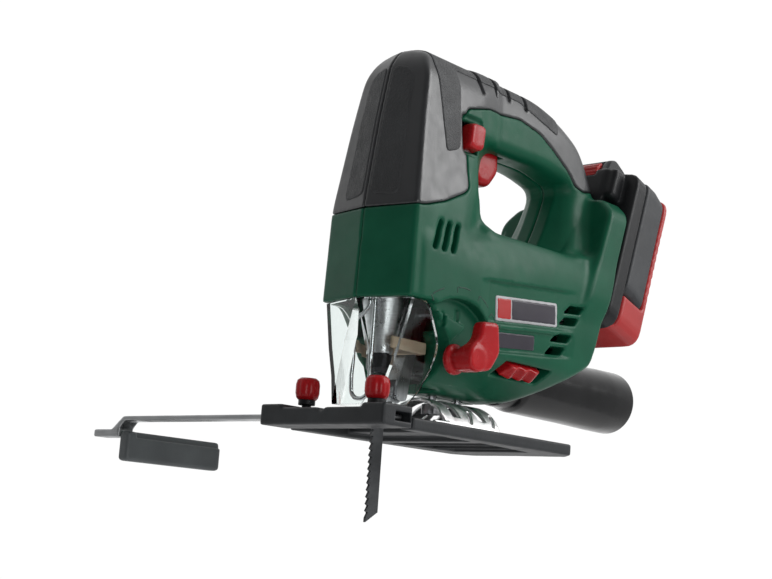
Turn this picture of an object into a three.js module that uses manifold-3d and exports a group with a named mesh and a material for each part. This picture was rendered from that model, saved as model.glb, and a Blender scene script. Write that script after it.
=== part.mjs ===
// Cordless jigsaw with a tilting shoe, a parallel fence, a clear guard and a slide-on battery.
// Millimetres. +Z is up from the sole, the saw cuts towards -Y, +X is the tool's left side.
// x = 0 is the mid plane, z = 0 is the sole, and the shoe tilts about the Y axis through the origin.
import * as THREE from 'three';
import { mergeVertices } from 'three/addons/utils/BufferGeometryUtils.js';
import Module from 'manifold-3d';

const wasm = await Module();
wasm.setup();

// ---------------------------------------------------------------- driving dimensions
const GAP = 0.3;                 // air between two touching pieces
const WALL = 2.8;                // housing wall
const SKIN = 2.2;                // soft grip over the housing
const BODY_BOTTOM = 21.5;        // underside of the housing
const BODY_HALF = 35.5;          // half width of the body
const SHELF = 105;               // top of the body, under the hand
const SPLIT = 107.5;             // height at which each housing half is split
const TOOL_TOP = 190;            // top of the handle
const NOSE_BOTTOM = 62;
const NOSE_HALF = 27.5;          // half width of the nose at its foot
const HANDLE_HALF = 16;
const SHOE_HALF = 39;
const SHOE_FRONT = -57;          // the front bar stands before this
const SHOE_REAR = 74;
const SHOE_TOP = 5.7;
const RAIL_INNER = 31;           // half width of the shoe's opening
const BAR_FRONT = -77;
const ROD_Y = -63.6;             // fence rod and its two thumb screws
const SCREW_X = 22;              // thumb screws, each side of the middle
const SADDLE_OUTER = 21;         // half-round bevel saddle, centred on the tilt axis
const SADDLE_WALL = 2;
const BLADE_Y = -38;             // plunger and blade axis
const STROKE = 20;
const BLADE_THICK = 1.3;
const GEAR_Z = 108;
const GEAR_RADIUS = 20;
const GEAR_TEETH = 40;
const PINION_RADIUS = 5;
const PINION_TEETH = 10;
const MOTOR_Z = 83;
const MOTOR_RADIUS = 16.5;
const PORT_Z = 38;               // dust port
const PORT_RADIUS = 17.5;
const LEVER_Y = -20;             // orbital lever's axis
const LEVER_Z = 37;
const SOCKET = { y: 98, z: 86, lean: 17.4 };   // battery interface plane
const BATTERY_HALF = 37;
const MOUTH_TOP = 67;            // upper end of the opening under the nose
const BUSH_LOWER = [79, 86.5];   // heights of the plunger's two bushes
const BUSH_UPPER = [134, 142];
const GRIP_SLOT = { front: -15, rear: -1.5, low: 141.5, high: 156.5 };   // for the lock-off button

const RED = 0xc0262c;
const GREEN = 0x1f6b4a;
const BLACK = 0x24272a;
const CHARCOAL = 0x3a3e42;
const STEEL = 0x9a9ea2;
const CHROME = 0xc9ccd0;
const ALUMINIUM = 0xb4b7ba;
const BRONZE = 0xb08a4a;
const COPPER = 0xa06a3a;
const IRON = 0x8a8070;
const GREY = 0x4b4f53;
const PLATE = 0x5a4a55;
const CLEAR = 0xdfe6e6;
const FELT = 0xd8c6b0;
const BOARD = 0x2f6b3a;
const CELL = 0x3b6fae;
const BLADE = 0x55595d;

const object = new THREE.Group();

// ---------------------------------------------------------------- solids
function toSolid(geometry, matrix) {
  const bare = geometry.index ? geometry.toNonIndexed() : geometry.clone();
  bare.deleteAttribute('normal');
  bare.deleteAttribute('uv');
  if (matrix) bare.applyMatrix4(matrix);
  const merged = mergeVertices(bare, 1e-4);
  const vertProperties = new Float32Array(merged.attributes.position.array);
  const kept = [];
  const index = merged.index.array;
  for (let i = 0; i < index.length; i += 3) {
    const [a, b, c] = [index[i], index[i + 1], index[i + 2]];
    if (a !== b && b !== c && c !== a) kept.push(a, b, c);
  }
  const make = (tris) => new wasm.Manifold(new wasm.Mesh({
    numProp: 3, vertProperties, triVerts: new Uint32Array(tris),
  }));
  const solid = make(kept);
  if (solid.volume() >= 0) return solid;
  const flipped = [];
  for (let i = 0; i < kept.length; i += 3) flipped.push(kept[i], kept[i + 2], kept[i + 1]);
  return make(flipped);
}

function toGeometry(solid) {
  const mesh = solid.getMesh();
  const geometry = new THREE.BufferGeometry();
  geometry.setAttribute('position', new THREE.BufferAttribute(new Float32Array(mesh.vertProperties), 3));
  geometry.setIndex(new THREE.BufferAttribute(new Uint32Array(mesh.triVerts), 1));
  return geometry;
}

function add(name, solid, color, roughness = 0.5, metalness = 0, parent = object) {
  const material = new THREE.MeshStandardMaterial({ color, roughness, metalness });
  const mesh = new THREE.Mesh(toGeometry(solid), material);
  mesh.name = name;
  parent.add(mesh);
  return mesh;
}

// A closed outline whose corners are [a, b] or [a, b, radius].
function outline(corners) {
  const shape = new THREE.Shape();
  corners.forEach(([a, b, radius = 0], i) => {
    const corner = new THREE.Vector2(a, b);
    const before = new THREE.Vector2(...corners.at(i - 1));
    const after = new THREE.Vector2(...corners[(i + 1) % corners.length]);
    const back = before.sub(corner);
    const forth = after.sub(corner);
    const reach = Math.min(radius, back.length() * 0.49, forth.length() * 0.49);
    const start = corner.clone().addScaledVector(back.normalize(), reach);
    const end = corner.clone().addScaledVector(forth.normalize(), reach);
    if (i === 0) shape.moveTo(start.x, start.y);
    else shape.lineTo(start.x, start.y);
    if (reach > 0) shape.quadraticCurveTo(corner.x, corner.y, end.x, end.y);
  });
  return shape;
}

const X = new THREE.Vector3(1, 0, 0);
const Y = new THREE.Vector3(0, 1, 0);
const Z = new THREE.Vector3(0, 0, 1);
const BASES = {
  side: new THREE.Matrix4().makeBasis(Y, Z, X),                    // outline (y, z), depth along x
  front: new THREE.Matrix4().makeBasis(X, Z, Y.clone().negate()),  // outline (x, z), depth along -y
  plan: new THREE.Matrix4(),                                       // outline (x, y), depth along z
};

// A prism of an outline between two planes: x for side, y for front, z for plan.
function prism(view, shape, low, high, curveSegments = 2) {
  const form = shape instanceof THREE.Shape ? shape : outline(shape);
  const depth = high - low;
  const geometry = new THREE.ExtrudeGeometry(form, { depth, bevelEnabled: false, curveSegments });
  const start = view === 'front' ? -high : low;
  const matrix = BASES[view].clone().multiply(new THREE.Matrix4().makeTranslation(0, 0, start));
  return toSolid(geometry, matrix);
}

function box(x0, x1, y0, y1, z0, z1) {
  const geometry = new THREE.BoxGeometry(x1 - x0, y1 - y0, z1 - z0);
  const middle = [(x0 + x1) / 2, (y0 + y1) / 2, (z0 + z1) / 2];
  return toSolid(geometry, new THREE.Matrix4().makeTranslation(...middle));
}

// A turned piece: profile points are [radius, distance along the axis].
const TURNS = {
  x: new THREE.Matrix4().makeBasis(Z, X, Y),
  y: new THREE.Matrix4().makeBasis(X.clone().negate(), Y, Z),
  z: new THREE.Matrix4().makeBasis(X, Z, Y.clone().negate()),
};

function turned(axis, profile, segments = 16, centre = [0, 0, 0]) {
  const closed = profile[0][0] === 0 ? profile : [...profile, profile[0]];
  const points = closed.map(([radius, along]) => new THREE.Vector2(radius, along));
  const geometry = new THREE.LatheGeometry(points, segments);
  return toSolid(geometry, new THREE.Matrix4().makeTranslation(...centre).multiply(TURNS[axis]));
}

function rod(axis, radius, from, to, segments = 16, centre = [0, 0, 0]) {
  return turned(axis, [[0, from], [radius, from], [radius, to], [0, to]], segments, centre);
}

function ring(axis, inner, outer, from, to, segments = 16, centre = [0, 0, 0]) {
  return turned(axis, [[inner, from], [outer, from], [outer, to], [inner, to]], segments, centre);
}

// A round or polygonal wire along a path of points.
function wire(points, radius, steps, sides = 6) {
  const section = new THREE.Shape();
  for (let i = 0; i < sides; i += 1) {
    const angle = (i / sides) * 2 * Math.PI;
    const at = [radius * Math.cos(angle), radius * Math.sin(angle)];
    if (i === 0) section.moveTo(...at);
    else section.lineTo(...at);
  }
  const knots = points.map((p) => new THREE.Vector3(...p));
  const path = new THREE.CatmullRomCurve3(knots, false, 'catmullrom', 0.5);
  return toSolid(new THREE.ExtrudeGeometry(section, { steps, extrudePath: path, bevelEnabled: false }));
}

// Moves every side of an outline inwards by a distance; a negative distance moves them outwards.
function inset(corners, distance) {
  let area = 0;
  corners.forEach(([a, b], i) => {
    const [c, d] = corners[(i + 1) % corners.length];
    area += a * d - c * b;
  });
  const turn = Math.sign(area);
  return corners.map(([a, b, radius = 0], i) => {
    const here = new THREE.Vector2(a, b);
    const back = here.clone().sub(new THREE.Vector2(...corners.at(i - 1))).normalize();
    const forth = new THREE.Vector2(...corners[(i + 1) % corners.length]).sub(here).normalize();
    const normals = [back, forth].map((v) => new THREE.Vector2(-v.y * turn, v.x * turn));
    const mean = normals[0].clone().add(normals[1]).normalize();
    const move = distance / Math.max(0.5, mean.dot(normals[0]));
    return [a + mean.x * move, b + mean.y * move, Math.max(0, radius - distance)];
  });
}

function mirrored(half) {
  const other = half.filter(([x]) => x > 0).map(([x, b, radius]) => [-x, b, radius]).reverse();
  return [...half, ...other];
}

function union(solids) {
  return solids.reduce((all, solid) => all.add(solid));
}

// ---------------------------------------------------------------- housing form
const NOSE_SIDE = [
  [-59.5, NOSE_BOTTOM], [-57, 106, 30], [-51, 150, 30], [-45, 178, 20], [-33, TOOL_TOP, 14],
  [14, TOOL_TOP], [14, NOSE_BOTTOM],
];
const NOSE_FRONT = mirrored([
  [NOSE_HALF + 3, NOSE_BOTTOM], [NOSE_HALF + 0.5, 106, 20], [24, 145, 20], [19, 176, 16],
  [10, TOOL_TOP, 8],
]);
const NOSE_PLAN = mirrored([[NOSE_HALF + 3, -52], [NOSE_HALF + 3, 40]]).concat([[0, -59.5]]);
const BODY_SIDE = [
  [-30, BODY_BOTTOM, 8], [36, BODY_BOTTOM, 12], [58, 31, 20], [88, 50, 12], [91.5, 62], [104.4, 106.5],
  [60, 106.5], [14, SHELF], [-20, 112], [-46, 112], [-46, 58, 6], [-30, 50, 10],
];
const BODY_FRONT = mirrored([
  [12.5, BODY_BOTTOM], [24.5, 33.5], [33, 42, 6], [BODY_HALF, 62, 10], [BODY_HALF, 82, 12], [30, 101, 8],
  [24, 107, 4], [20, 112],
]);
const BODY_PLAN = mirrored([
  [NOSE_HALF, -51], [31, -30, 20], [BODY_HALF, 6, 20], [BODY_HALF, 80, 20], [BODY_HALF + 1, 120],
]).concat([[0, -58.5]]);
const HANDLE_SIDE = [
  [2, TOOL_TOP, 2], [50, TOOL_TOP, 20], [84, 178, 20], [102, 160, 12], [109, 149, 4], [104.4, 106.5],
  [100, 100], [2, 100],
];
const HANDLE_FRONT = mirrored([
  [30, 100], [26, 110, 10], [19, 132, 16], [HANDLE_HALF, 152, 10], [HANDLE_HALF, 178, 8],
  [8, TOOL_TOP, 6],
]);
const GRIP_OPENING = [
  [17, SHELF + 1, 6], [14.5, 128, 10], [18, 151, 5], [60, 152, 14], [85, 147, 12], [76, 124, 10],
  [66, SHELF + 1, 8],
];
const FLANGE_SIDE = [[83, 100, 3], [99, 143, 4], [115.9, 143], [91.7, 66], [74, 80, 8]];
const FLANGE_FRONT = mirrored([[30, 70, 8], [BATTERY_HALF, 82, 8], [BATTERY_HALF, 134, 8], [26, 144, 5]]);

// The whole outer form, moved inwards by a distance.
function form(distance) {
  const cut = (view, corners, low, high) => prism(view, inset(corners, distance), low, high);
  const nose = cut('side', NOSE_SIDE, -40, 40)
    .intersect(cut('front', NOSE_FRONT, -70, 20))
    .intersect(cut('plan', NOSE_PLAN, 0, 200));
  const body = cut('side', BODY_SIDE, -40, 40)
    .intersect(cut('front', BODY_FRONT, -70, 130))
    .intersect(cut('plan', BODY_PLAN, 0, 200));
  const handle = cut('side', HANDLE_SIDE, -40, 40).intersect(cut('front', HANDLE_FRONT, -10, 130));
  const flange = cut('side', FLANGE_SIDE, -40, 40).intersect(cut('front', FLANGE_FRONT, 60, 130));
  const opening = prism('side', inset(GRIP_OPENING, -distance), -50, 50);
  return union([nose, body, handle, flange]).subtract(opening);
}

// The edge of the soft grip, seen from the side. The grip lies above it.
const CAP_EDGE = [
  [-70, 104], [-46, 106], [-32, 113], [-16.5, 121, 3], [-17.5, 158, 4], [8, 169], [40, 173], [66, 165],
  [83, 155], [94, 146, 3], [120, 152], [120, 210], [-70, 210],
];

const socketFrame = new THREE.Matrix4().makeTranslation(0, SOCKET.y, SOCKET.z)
  .multiply(new THREE.Matrix4().makeRotationX(THREE.MathUtils.degToRad(-SOCKET.lean)));
// A box in the battery's frame: x, distance behind the interface, height along it.
function socketBox(x0, x1, n0, n1, u0, u1) {
  return box(x0, x1, n0, n1, u0, u1).transform(socketFrame.elements);
}

// Air slots at the back of the body: the upper edge's start as (y, z), and the length.
const AIR_SLOTS = [[63.5, 75.5, 12.5], [60, 69, 12.5], [54.5, 59.5, 13], [51, 52.6, 12.5]];

function airSlot([y, z, long]) {
  const corners = [[y - 3.4, z - 3], [y + long - 3, z - 2], [y + long, z + 2.3], [y + 1.6, z + 1.5]];
  return prism('side', corners, -50, 50);
}

// The three slanted slots in one side of the nose.
function noseSlots(low, high) {
  return union([0, 1, 2].map((i) => {
    const y = -35.9 + 5.9 * i;
    return prism('side', [[y, 100.5], [y + 2.6, 100.5], [y - 2.4, 87.5], [y - 5, 87.5]], low, high);
  }));
}

// The four screws that hold the two halves together, as (y, z, depth of the head under the surface).
const SCREWS = [[-7.5, 33, 3.6], [72, 62, 0.6], [91, 128, 0.6], [4.5, 133, 0.6]];

// One screw from the right side, or with a margin the hole that takes it.
function screwSolid(y, z, depth, margin) {
  const line = form(0).intersect(rod('x', 1, -60, 0, 8, [0, y, z]));
  const face = line.boundingBox().min[0] + depth;
  const open = margin > 0 ? face - 6 : face;
  const seat = face + 2.4 + margin;
  return turned('x', [[0, open], [3 + margin, open], [3 + margin, seat], [1.4 + margin, seat],
    [1.4 + margin, 10 + margin], [0, 10 + margin]], 10, [0, y, z]);
}

const GUARD_SIDE = [
  [-58.8, NOSE_BOTTOM - 0.4], [-56.5, 42], [-54, 12.5], [-36, 12.5], [-28, 22], [-24, 32, 4], [-24, 44, 4],
  [-31, 53, 4], [-38, NOSE_BOTTOM - 0.4, 3],
];
const TRIGGER_PIN = [0, 16, 153.5];

// A block square to the lower left flank: along the flank, out of it, and along y.
const FLANK = { x: 28.7, z: 37.6 };
function onFlank(up0, up1, out0, out1, y0, y1) {
  const turn = Math.SQRT1_2;
  const corners = [[up0, out0], [up1, out0], [up1, out1], [up0, out1]].map(([up, out]) => [
    FLANK.x + (up + out) * turn, FLANK.z + (up - out) * turn]);
  return prism('front', corners, y0, y1);
}

function makeHousing() {
  const outer = form(0);
  const under = form(SKIN + GAP);
  const grown = prism('side', inset(CAP_EDGE, -GAP), -50, 50);
  const skin = outer.subtract(form(SKIN)).intersect(prism('side', CAP_EDGE, -50, 50));
  let shell = outer.subtract(grown.subtract(under));
  const bosses = union(SCREWS.map(([y, z]) => rod('x', 4.2, -60, 60, 12, [0, y, z])));
  shell = shell.subtract(form(SKIN + WALL).subtract(bosses));

  const holes = [
    // mouth under the nose for the blade clamp, the guard and the roller fork
    box(-23, 23, -49.5, -25.5, 50, MOUTH_TOP),
    box(-8, 8, -53, -45, 50, MOUTH_TOP),
    box(-13, 13, -40, -13, 20, 64),
    prism('side', inset(GUARD_SIDE, -0.4), -50, 50),
    // trigger, lock-off button, lever shaft and slide switch
    box(-7.6, 7.6, 10, 36, 130, 158),
    box(-30, 30, GRIP_SLOT.front, GRIP_SLOT.rear, GRIP_SLOT.low, GRIP_SLOT.high),
    rod('x', 3.3, 14, 40, 12, [0, LEVER_Y, LEVER_Z]),
    rod('x', 7.9, 29.4, 50, 18, [0, LEVER_Y, LEVER_Z]),
    rod('x', 1.8, -11.5, 11.5, 10, TRIGGER_PIN),
    onFlank(-4.1, 4.1, -9, 9, 14, 54),
    // dust port and clamp screws
    rod('y', PORT_RADIUS + GAP, 35, 170, 24, [0, 0, PORT_Z]),
    rod('z', 2.6, 10, 30, 10, [0, 0, 0]),
    rod('z', 2.6, 10, 30, 10, [0, 20, 0]),
    // battery channel, open at the top
    socketBox(-22.5, 22.5, -9.3, 6, -14, 90),
    socketBox(-45, 45, 0, 40, -40, 90),
    // air slots
    noseSlots(25.4, 50),
    noseSlots(-50, -25.4),
    ...AIR_SLOTS.map(airSlot),
  ];
  const screwHoles = SCREWS.map(([y, z, depth]) => screwSolid(y, z, depth, GAP));
  shell = shell.subtract(union([...holes, ...screwHoles]));
  // each half is split at the shelf under the hand, so that its collision stays open there
  const halves = { left: [GAP / 2, 60], right: [-60, -GAP / 2] };
  for (const [side, [x0, x1]] of Object.entries(halves)) {
    const lower = box(x0, x1, -90, 190, 0, SPLIT - GAP / 2);
    const upper = box(x0, x1, -90, 190, SPLIT + GAP / 2, 220);
    add(`housing_${side}`, largest(shell.intersect(lower)), GREEN, 0.45);
    add(`handle_${side}`, largest(shell.intersect(upper)), GREEN, 0.45);
    add(`soft_grip_${side}`, largest(skin.intersect(lower.add(upper).hull())), CHARCOAL, 0.8);
  }
}

// The biggest separate body of a cut, without slivers left by the cutting.
function largest(solid) {
  return solid.decompose().reduce((a, b) => (a.volume() > b.volume() ? a : b));
}

function makeHousingScrews() {
  SCREWS.forEach(([y, z, depth], i) => {
    add(`housing_screw_${i + 1}`, screwSolid(y, z, depth, 0), STEEL, 0.35, 1);
  });
}

function makePlates() {
  const tilt = [[6, 60], [55, 64], [54, 76], [5, 72]];
  const small = [[8, 47], [38, 49.5], [37.5, 57], [7.5, 54.5]];
  add('name_plate_left', prism('side', tilt, BODY_HALF + GAP, BODY_HALF + 1), RED, 0.4);
  add('rating_plate', prism('side', small, BODY_HALF + GAP, BODY_HALF + 0.8), PLATE, 0.4);
}

// ---------------------------------------------------------------- motor and gear
function toothed(radius, depth, teeth) {
  const shape = new THREE.Shape();
  const tooth = [[-0.24, -depth / 2], [-0.1, depth / 2], [0.1, depth / 2], [0.24, -depth / 2]];
  for (let i = 0; i < teeth; i += 1) {
    tooth.forEach(([part, out], j) => {
      const angle = ((i + part) / teeth) * 2 * Math.PI;
      const at = [(radius + out) * Math.cos(angle), (radius + out) * Math.sin(angle)];
      if (i === 0 && j === 0) shape.moveTo(...at);
      else shape.lineTo(...at);
    });
  }
  return shape;
}

const TOOTH_DEPTH = 1.1;
const FAN_BLADES = 9;
const GEAR_BACK = -10;
const GEAR_FRONT = -18;

function makeDrive() {
  const ecc = STROKE / 2;
  const gearAt = new THREE.Matrix4().makeTranslation(0, 0, GEAR_Z);
  const pinionAt = new THREE.Matrix4().makeTranslation(0, 0, MOTOR_Z);
  const halfTooth = new THREE.Matrix4().makeRotationY(Math.PI / PINION_TEETH + Math.PI / 2);
  const gear = prism('front', toothed(GEAR_RADIUS, TOOTH_DEPTH, GEAR_TEETH), GEAR_FRONT, GEAR_BACK)
    .subtract(rod('y', 3.15, -30, 0, 12))
    .transform(gearAt.clone().multiply(new THREE.Matrix4().makeRotationY(Math.PI / 2)).elements);
  const pin = rod('y', 3, -29.4, GEAR_FRONT + 1, 12, [ecc, 0, GEAR_Z]);
  add('drive_gear', gear.add(pin), STEEL, 0.35, 1);
  const weight = prism('front', [[-16, GEAR_Z - 9, 6], [-16, GEAR_Z + 9, 6], [6, GEAR_Z + 6, 3],
    [6, GEAR_Z - 6, 3]], -22, GEAR_FRONT - GAP)
    .subtract(rod('y', 3.15, -40, 0, 12, [0, 0, GEAR_Z]))
    .subtract(box(3.6, 10, -40, 0, GEAR_Z - 12, GEAR_Z + 12));
  add('counterweight', weight, IRON, 0.5, 1);

  const pinion = prism('front', toothed(PINION_RADIUS, TOOTH_DEPTH, PINION_TEETH), GEAR_FRONT, -8.5)
    .transform(halfTooth.elements).transform(pinionAt.elements);
  const rotor = turned('y', [[0, -8.6], [2.3, -8.6], [2.3, 12], [13, 12.5], [13, 46], [6, 47], [6, 53],
    [2.3, 53], [2.3, 61.5], [0, 61.5]], 16, [0, 0, MOTOR_Z]);
  add('armature', pinion.add(rotor), COPPER, 0.4, 1);
  const hub = ring('y', 2.4, 5, -1.5, 3, 12, [0, 0, MOTOR_Z]);
  const blades = Array.from({ length: FAN_BLADES }, (_, i) => {
    const turn = new THREE.Matrix4().makeRotationY((i / FAN_BLADES) * 2 * Math.PI);
    return box(-0.6, 0.6, -1.5, 2.4, 4.5, 15).transform(pinionAt.clone().multiply(turn).elements);
  });
  add('cooling_fan', union([hub, ...blades]), BLACK, 0.5);
  const can = turned('y', [[5.3, 3.4], [8, 3.4], [8, 5], [MOTOR_RADIUS, 5], [MOTOR_RADIUS, 58], [8, 58],
    [8, 60], [5.3, 60], [5.3, 56.5], [14.7, 56.5], [14.7, 7], [5.3, 7]], 24, [0, 0, MOTOR_Z]);
  add('motor_can', can, STEEL, 0.4, 1);
  add('motor_bearing_front', ring('y', 2.5, 5, 3.7, 6.9, 16, [0, 0, MOTOR_Z]), CHROME, 0.3, 1);
  add('motor_bearing_rear', ring('y', 2.5, 5, 56.6, 59.8, 16, [0, 0, MOTOR_Z]), CHROME, 0.3, 1);
}

function makeGearbox() {
  const spine = box(-20.5, 20.5, -7.4, -3, 79, 142);
  const arms = union([BUSH_LOWER, BUSH_UPPER].map(([z0, z1]) => box(-12, 12, -46, -7.3, z0, z1)));
  const holes = union([
    rod('z', 6.05, 70, 150, 16, [0, BLADE_Y, 0]),
    rod('y', 7.5, -21, 0, 16, [0, 0, MOTOR_Z]),
    box(-23, -12, -9, 0, 120, 150), box(12, 23, -9, 0, 120, 150),
  ]);
  const axle = turned('y', [[0, -23], [3, -23], [3, -2.7], [5, -2.7], [5, -0.5], [0, -0.5]], 12,
    [0, 0, GEAR_Z]);
  const frame = spine.add(arms).subtract(holes).add(axle);
  add('gearbox_frame', largest(frame), ALUMINIUM, 0.55, 1);
  const bush = ([z0, z1]) => ring('z', 4.06, 6, z0, z1, 16, [0, BLADE_Y, 0]);
  add('plunger_bush_lower', bush(BUSH_LOWER), BRONZE, 0.4, 1);
  add('plunger_bush_upper', bush(BUSH_UPPER), BRONZE, 0.4, 1);
}

// ---------------------------------------------------------------- plunger, blade clamp and roller
const SHANK_TOP = 41;
const BLADE_FRONT = -42;
const BLADE_BACK = -34;
const BLADE_TIP = -41;
const SHANK_FRONT = -40.5;
const SHANK_BACK = -35.6;

function bladeOutline() {
  const pitch = 3.2;
  const corners = [];
  for (let z = BLADE_TIP + 2; z < 8; z += pitch) {
    corners.push([BLADE_FRONT, z], [BLADE_FRONT + 1.3, z + pitch * 0.75]);
  }
  return [...corners, [BLADE_FRONT, 12], [BLADE_FRONT, 25], [SHANK_FRONT, 27], [SHANK_FRONT, SHANK_TOP],
    [SHANK_BACK, SHANK_TOP], [SHANK_BACK, 27], [BLADE_BACK, 25], [BLADE_BACK, -36],
    [BLADE_FRONT, BLADE_TIP]];
}

function makePlunger() {
  const axis = [0, BLADE_Y, 0];
  const yoke = box(-17, 17, -34.5, -30, GEAR_Z - 4.5, GEAR_Z + 4.5)
    .subtract(box(-13.6, 13.6, -40, -20, GEAR_Z - 3.2, GEAR_Z + 3.2));
  const bar = rod('z', 4, 44, 155, 16, axis);
  const bridge = box(-4, 4, -36, -30, GEAR_Z - 4.5, GEAR_Z + 4.5)
    .subtract(box(-5, 5, -34, -20, GEAR_Z - 3.2, GEAR_Z + 3.2));
  add('plunger', bar.add(yoke).add(bridge), STEEL, 0.3, 1);
  const slot = box(-0.95, 0.95, SHANK_FRONT - GAP, SHANK_BACK + GAP, 20, SHANK_TOP + GAP);
  const clamp = turned('z', [[0, 29], [3.2, 29], [4.9, 31], [4.9, 37.5], [3.9, 37.5], [3.9, 43.7],
    [0, 43.7]], 14, axis);
  add('blade_clamp', clamp.subtract(slot), BLACK, 0.4, 1);
  const cone = [[4.3, 37.9], [5.4, 37.9], [6.6, 44], [11, 63], [11.4, 68.5], [4.3, 68.5]];
  add('clamp_sleeve', turned('z', cone, 20, axis), ALUMINIUM, 0.35, 1);
  add('saw_blade', prism('side', bladeOutline(), -BLADE_THICK / 2, BLADE_THICK / 2), BLADE, 0.45, 1);
}

const ROLLER = { y: BLADE_BACK + 4.8, z: 20, radius: 4.5 };
const PIVOT = { y: -17, z: 60 };

function makeRoller() {
  const at = [0, ROLLER.y, ROLLER.z];
  const pivotAt = [0, PIVOT.y, PIVOT.z];
  const arm = prism('side', [[-21, 64, 4], [-13, 64, 4], [-13, 56, 4], [-20, 38, 4], [-24, 17, 2],
    [-31, 17, 2], [-31, 24, 2], [-26, 40, 4], [-22, 54, 4]], -4.2, 4.2)
    .subtract(box(-2.5, 2.5, -40, -23.9, 10, 27))
    .subtract(rod('x', 2.2, -6, 6, 10, pivotAt))
    .add(rod('x', 1.5, -4.2, 4.2, 10, at));
  add('roller_fork', arm, STEEL, 0.4, 1);
  const groove = ROLLER.radius - 0.8;
  const roller = turned('x', [[1.56, -2.1], [ROLLER.radius, -2.1], [groove, -0.7], [groove, 0.7],
    [ROLLER.radius, 2.1], [1.56, 2.1]], 16, at);
  add('guide_roller', roller, STEEL, 0.3, 1);
  add('fork_pivot_pin', rod('x', 2, -12, 12, 10, pivotAt), STEEL, 0.3, 1);
}

// ---------------------------------------------------------------- guards and controls
function makeGuards() {
  const half = [[27.2, NOSE_BOTTOM - 0.4], [22, 40], [17.4, 26], [15, 12.5]];
  const front = (inner) => mirrored(half.map(([x, z]) => [x - inner, z]));
  const vee = (inner) => mirrored([[40, -44.5 + inner], [40, 0]]).concat([[0, -57 + inner]]);
  const outer = prism('side', GUARD_SIDE, -40, 40).intersect(prism('front', front(0), -70, 0));
  const slope = (inner) => prism('side', [[-58.8 + inner, 62.6], [-56.4 + inner, 42], [-54 + inner, 12],
    [0, 12], [0, 62.6]], -40, 40);
  const room = prism('front', front(1.6), -70, 0)
    .intersect(slope(1.4))
    .intersect(prism('plan', vee(1.7), 0, 70));
  const shell = outer.subtract(room).intersect(prism('plan', vee(-1.8), 0, 70));
  add('clear_guard', largest(shell), CLEAR, 0.05);

  const x = 5;
  const y = -51.1;
  add('wire_guard', wire([[-3.2, y - 0.2, 66], [-3.4, y, 60], [-x - 0.6, y, 52], [-x, y, 44], [-x, y, 22],
    [-x + 1.2, y, 17], [0, y, 15.4], [x - 1.2, y, 17], [x, y, 22], [x, y, 44], [x, y, 62], [x, y - 0.2, 66]],
  1.1, 30, 6), CHROME, 0.15, 1);

  // open at the front, with two tabs at the back that stand against the housing
  const band = box(-15, 15, -47, -23.9, 39, 45)
    .subtract(prism('plan', mirrored([[13.2, -60], [13.2, -28.3, 4]]), 30, 50))
    .subtract(box(-10, 10, -26.9, 0, 30, 50));
  add('wiper_band', band, FELT, 0.8);
}

function makeControls() {
  const hubAt = [0, LEVER_Y, LEVER_Z];
  const hub = turned('x', [[0, 30], [6.4, 30], [6.4, 37], [7.3, 38], [7.3, 44], [6, 45.4],
    [0, 45.4]], 18, hubAt);
  const arm = prism('side', [[-21, 30.5, 2], [-8, 33.5, 4], [-3.5, 42, 5], [-7, 55, 3], [-14, 54, 2],
    [-12, 42, 2], [-20, 41.5, 2]], 37, 44.5);
  const shaft = rod('x', 3, 5.2, 30.5, 12, hubAt);
  add('orbital_lever', hub.add(arm).add(shaft), RED, 0.35);

  const slider = onFlank(-3.7, 3.7, -5.8, 2.4, 20, 46).add(onFlank(-5.6, 4.3, -7, -5.6, 17, 49));
  add('slide_switch', slider, RED, 0.4);

  const trigger = prism('side', [[13, 157, 2], [20, 157, 2], [34.6, 153.2], [34.6, 143, 3], [28, 134.5, 3],
    [19, 134, 3], [13, 140, 3], [11, 150, 2]], -7, 7)
    .subtract(rod('x', 1.65, -10, 10, 10, TRIGGER_PIN));
  add('trigger', trigger, RED, 0.35);
  add('trigger_pin', rod('x', 1.5, -11, 11, 10, TRIGGER_PIN), STEEL, 0.3, 1);
  add('trigger_switch', box(-8, 8, 21, 50, 162, 177), BLACK, 0.5);

  const { front, rear, low, high } = GRIP_SLOT;
  const button = box(-27.5, 27.5, front + 0.8, rear - 0.8, low + 0.8, high - 0.8)
    .subtract(box(-20, 20, -20, 5, 146, 160));
  add('lock_off_button', button, RED, 0.35);
  const board = box(-14, 14, 62, 80, 84, 100).subtract(box(-12, 12, 60, 78.4, 80, 110));
  add('circuit_board', board, BOARD, 0.6);
}

// ---------------------------------------------------------------- shoe, fence and dust port
const SADDLE_FRONT = -20;
const SADDLE_REAR = 32;
const FOOT_LOW = 4.2;            // the saddle's feet lie flush in the shoe
const FOOT_HALF = 28;
const POCKET = 2.4;              // depth of the two hollows under the shoe

function mirroredBoxes(x0, x1, y0, y1, z0, z1) {
  return box(x0, x1, y0, y1, z0, z1).add(box(-x1, -x0, y0, y1, z0, z1));
}

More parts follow.
